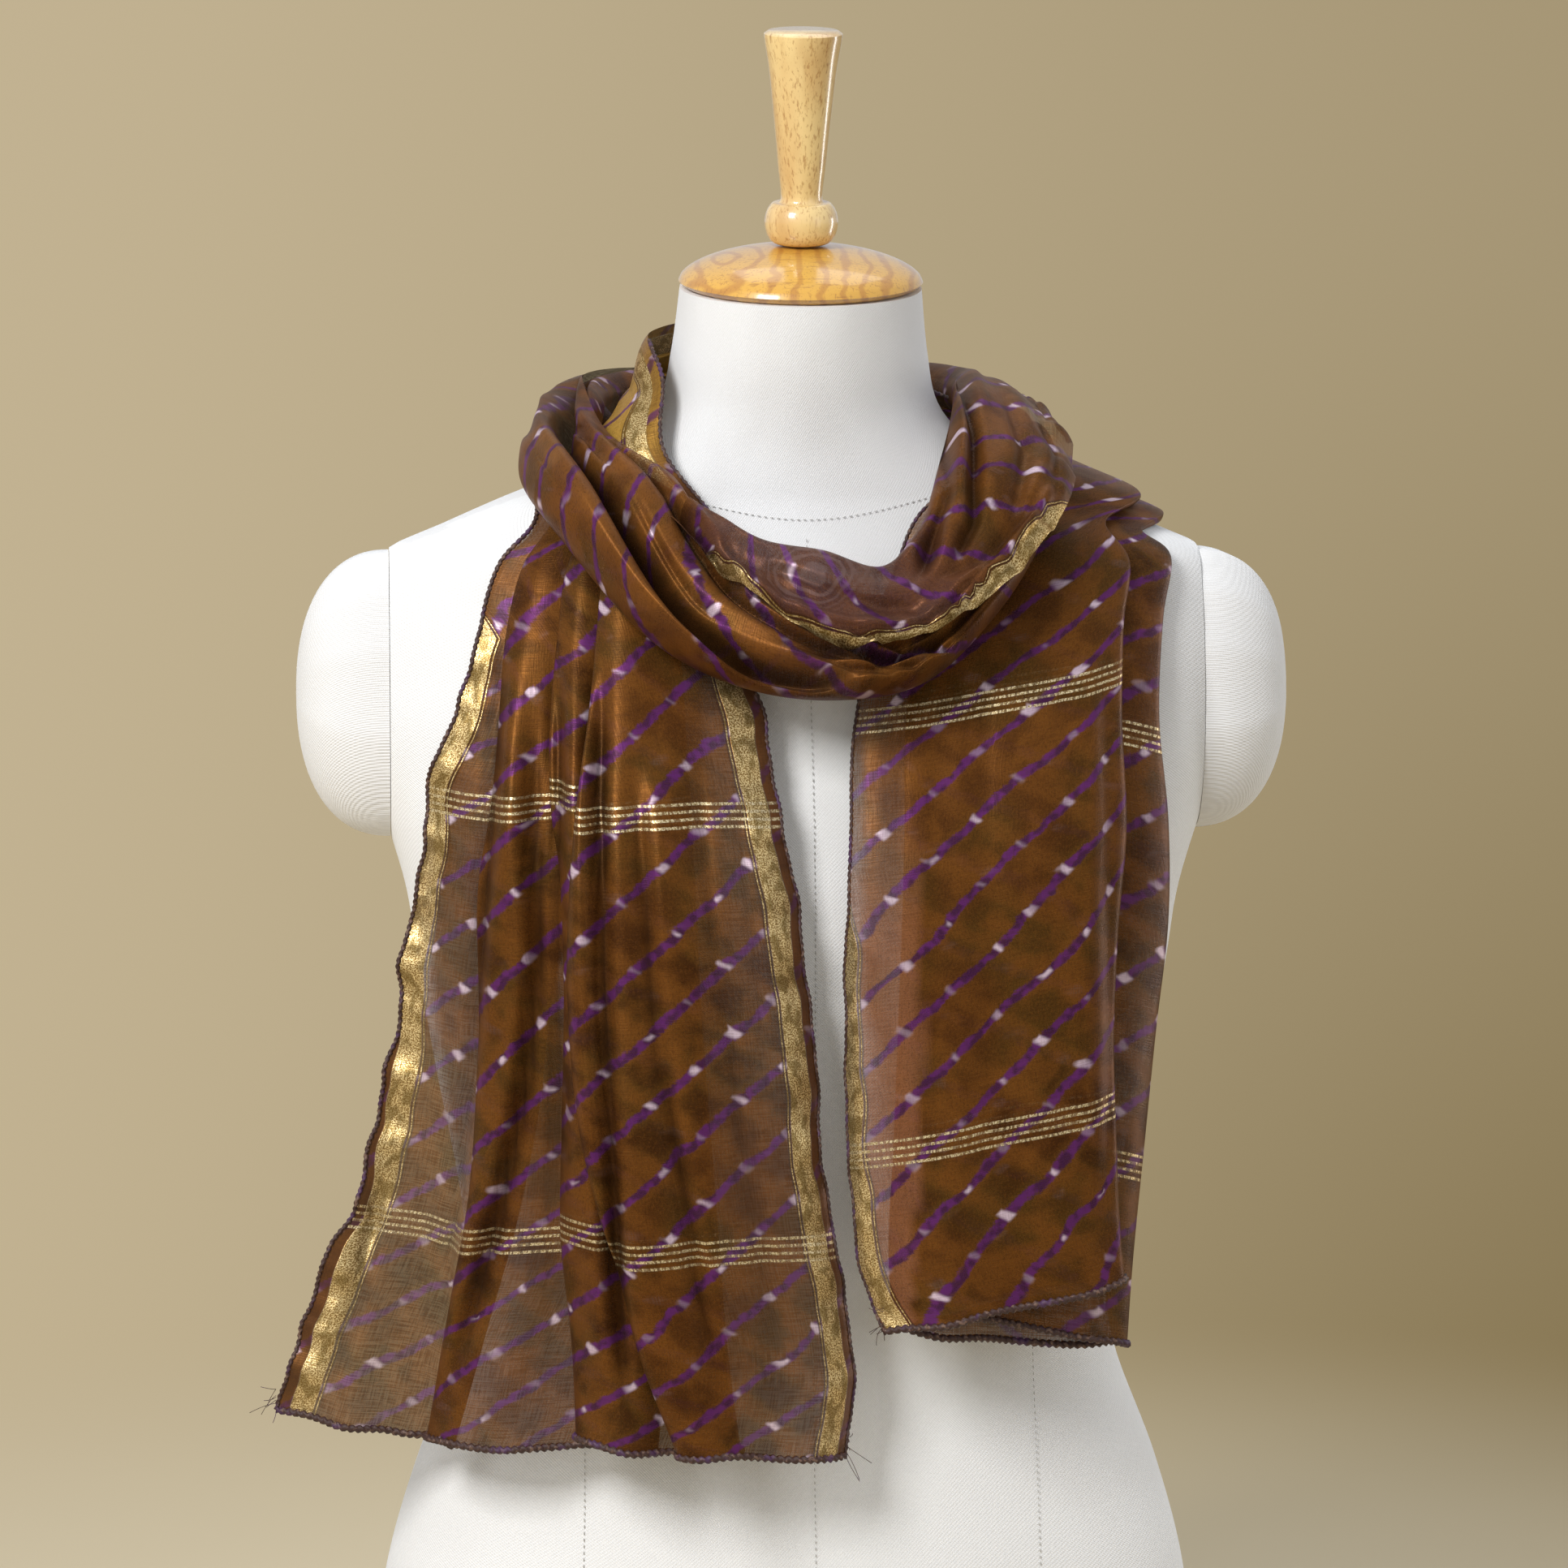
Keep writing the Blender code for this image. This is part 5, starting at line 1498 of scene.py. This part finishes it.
def build_seams():
    """Stitched seams: round the neck's base, down the middles and down the four panels."""
    angle = np.radians(np.arange(181) * 2.0)
    facing = np.cos(angle)
    height = 0.672 - 0.026 * np.maximum(0.0, facing) ** 1.5 + 0.004 * np.maximum(0.0, -facing)
    lines = [form_round(angle, height, 0.0009)]
    t = np.linspace(0, 1, 120)
    for low, high, top, side in SEAMS:
        lines.append(surface_line(mix(low, high, t) * MM, mix(SEAM_FOOT, top, t) * MM, side))
    thread = seam_material()
    pieces = [stitches(f"form_seam_{k}", line, thread) for k, line in enumerate(lines)]
    finish_piece(joined("form_seams", pieces))


def lathe(name, profile, segments, material):
    """A turned piece that stands on the neck; the profile's middle points are joined smoothly."""
    inner = np.array(profile[1:-1])
    gaps = np.linalg.norm(np.diff(inner, axis=0), axis=1)
    fine = spline(inner, np.where(gaps < SHARP_GAP, 1, 6))
    radius, height = np.maximum(0.0005, fine[:, :1]), fine[:, 1:]
    turn = 2 * np.pi * np.arange(segments) / segments
    tips = [(0.0, 0.0, end[1]) for end in (profile[0], profile[-1])]
    rings = stacked(radius * np.cos(turn), radius * np.sin(turn), height)
    thing = shell(name, rings, material, tips, flip=True)
    seat = (*form_centre(NECK_TOP), NECK_TOP + SEAM_GAP)
    thing.data.transform(Matrix.Translation(seat) @ Matrix.Rotation(NECK_TILT, 4, "X"))
    thing.data.set_sharp_from_angle(angle=math.radians(50))
    return thing


def build_wood():
    cap = lathe("turned_neck_cap", cap_profile(), 96, cap_material())
    finish_piece(cap, ["neck_cap"])
    handle = lathe("turned_handle", handle_profile(), 64, handle_material())
    finish_piece(handle, ["handle"])


# ---------------------------------------------------------------- stage
def backdrop_tone(g, sight):
    """Colour of the backdrop in a direction: a little darker to the right and downwards."""
    x, _, z = g.parts(sight)
    side = g.ramp(x, -0.10, 0.26)
    low = g.ramp(z, 0.02, -0.26)
    dim = g.plus(g.times(side, 0.52), g.times(g.times(side, low), 0.48))
    return g.mix(dim, "backdrop", "backdrop_dim")


def floor_material():
    """Pale and lit near the form; further out it only glows as the backdrop does."""
    g = Surface("floor", 0.9)
    spot = g.place()
    far = g.ramp(g.length(spot), 0.40, 1.30)
    sight = g.vector("NORMALIZE", g.vector("SUBTRACT", spot, tuple(EYE)).outputs[0]).outputs[0]
    tone = g.mix(g.noise(spot, 2.0, 2.0), "floor", "floor_dim")
    g.set("Base Color", g.mix(far, tone, "black"))
    g.set("Specular IOR Level", 0.0)
    g.set("Emission Color", g.mix(far, "black", backdrop_tone(g, sight)))
    g.set("Emission Strength", 1.0)
    return g.material


def build_world():
    """Even light all round; the camera sees the backdrop's colours instead."""
    world = bpy.data.worlds.new("studio")
    bpy.context.scene.world = world
    world.use_nodes = True
    g = Graph(world.node_tree)
    lit = g.tree.nodes["Background"]
    lit.inputs["Color"].default_value = (0.94, 0.98, 1.05, 1)
    lit.inputs["Strength"].default_value = 0.60
    seen = g.node("Background", {"Color": backdrop_tone(g, g.node("TexCoord").outputs["Generated"]),
                                 "Strength": 1.0})
    to_camera = g.node("LightPath").outputs["Is Camera Ray"]
    blend = g.node("MixShader", {0: to_camera, 1: lit.outputs[0], 2: seen.outputs[0]})
    g.feed(g.tree.nodes["World Output"].inputs["Surface"], blend.outputs[0])


def placed(name, data, place, aim):
    """A lamp or camera at a place, turned towards another."""
    thing = bpy.data.objects.new(name, data)
    thing.location = place
    thing.rotation_euler = (Vector(aim) - Vector(place)).to_track_quat("-Z", "Y").to_euler()
    bpy.context.scene.collection.objects.link(thing)
    return thing


def build_stage():
    corners = [(x * FLOOR_REACH, y * FLOOR_REACH, FLOOR_Z) for x, y in ((-1, -1), (1, -1), (1, 1), (-1, 1))]
    mesh_object("floor", corners, [(0, 1, 2, 3)], floor_material())
    build_world()
    for name, place, wide, high, watts in LAMPS:
        light = bpy.data.lights.new(name, "AREA")
        light.shape = "RECTANGLE"
        light.size, light.size_y = wide, high
        light.energy = watts
        placed(name, light, place, LAMP_AIM)
    camera = bpy.data.cameras.new("camera")
    camera.lens, camera.sensor_width = 138.37, 36.0
    bpy.context.scene.camera = placed("camera", camera, EYE, AIM)
    bpy.context.scene.view_settings.view_transform = "Standard"


build_stage()
CANVAS = canvas_material()
build_torso(CANVAS)
build_shoulder(-1, CANVAS)
build_shoulder(1, CANVAS)
build_seams()
build_wood()
build_stole()
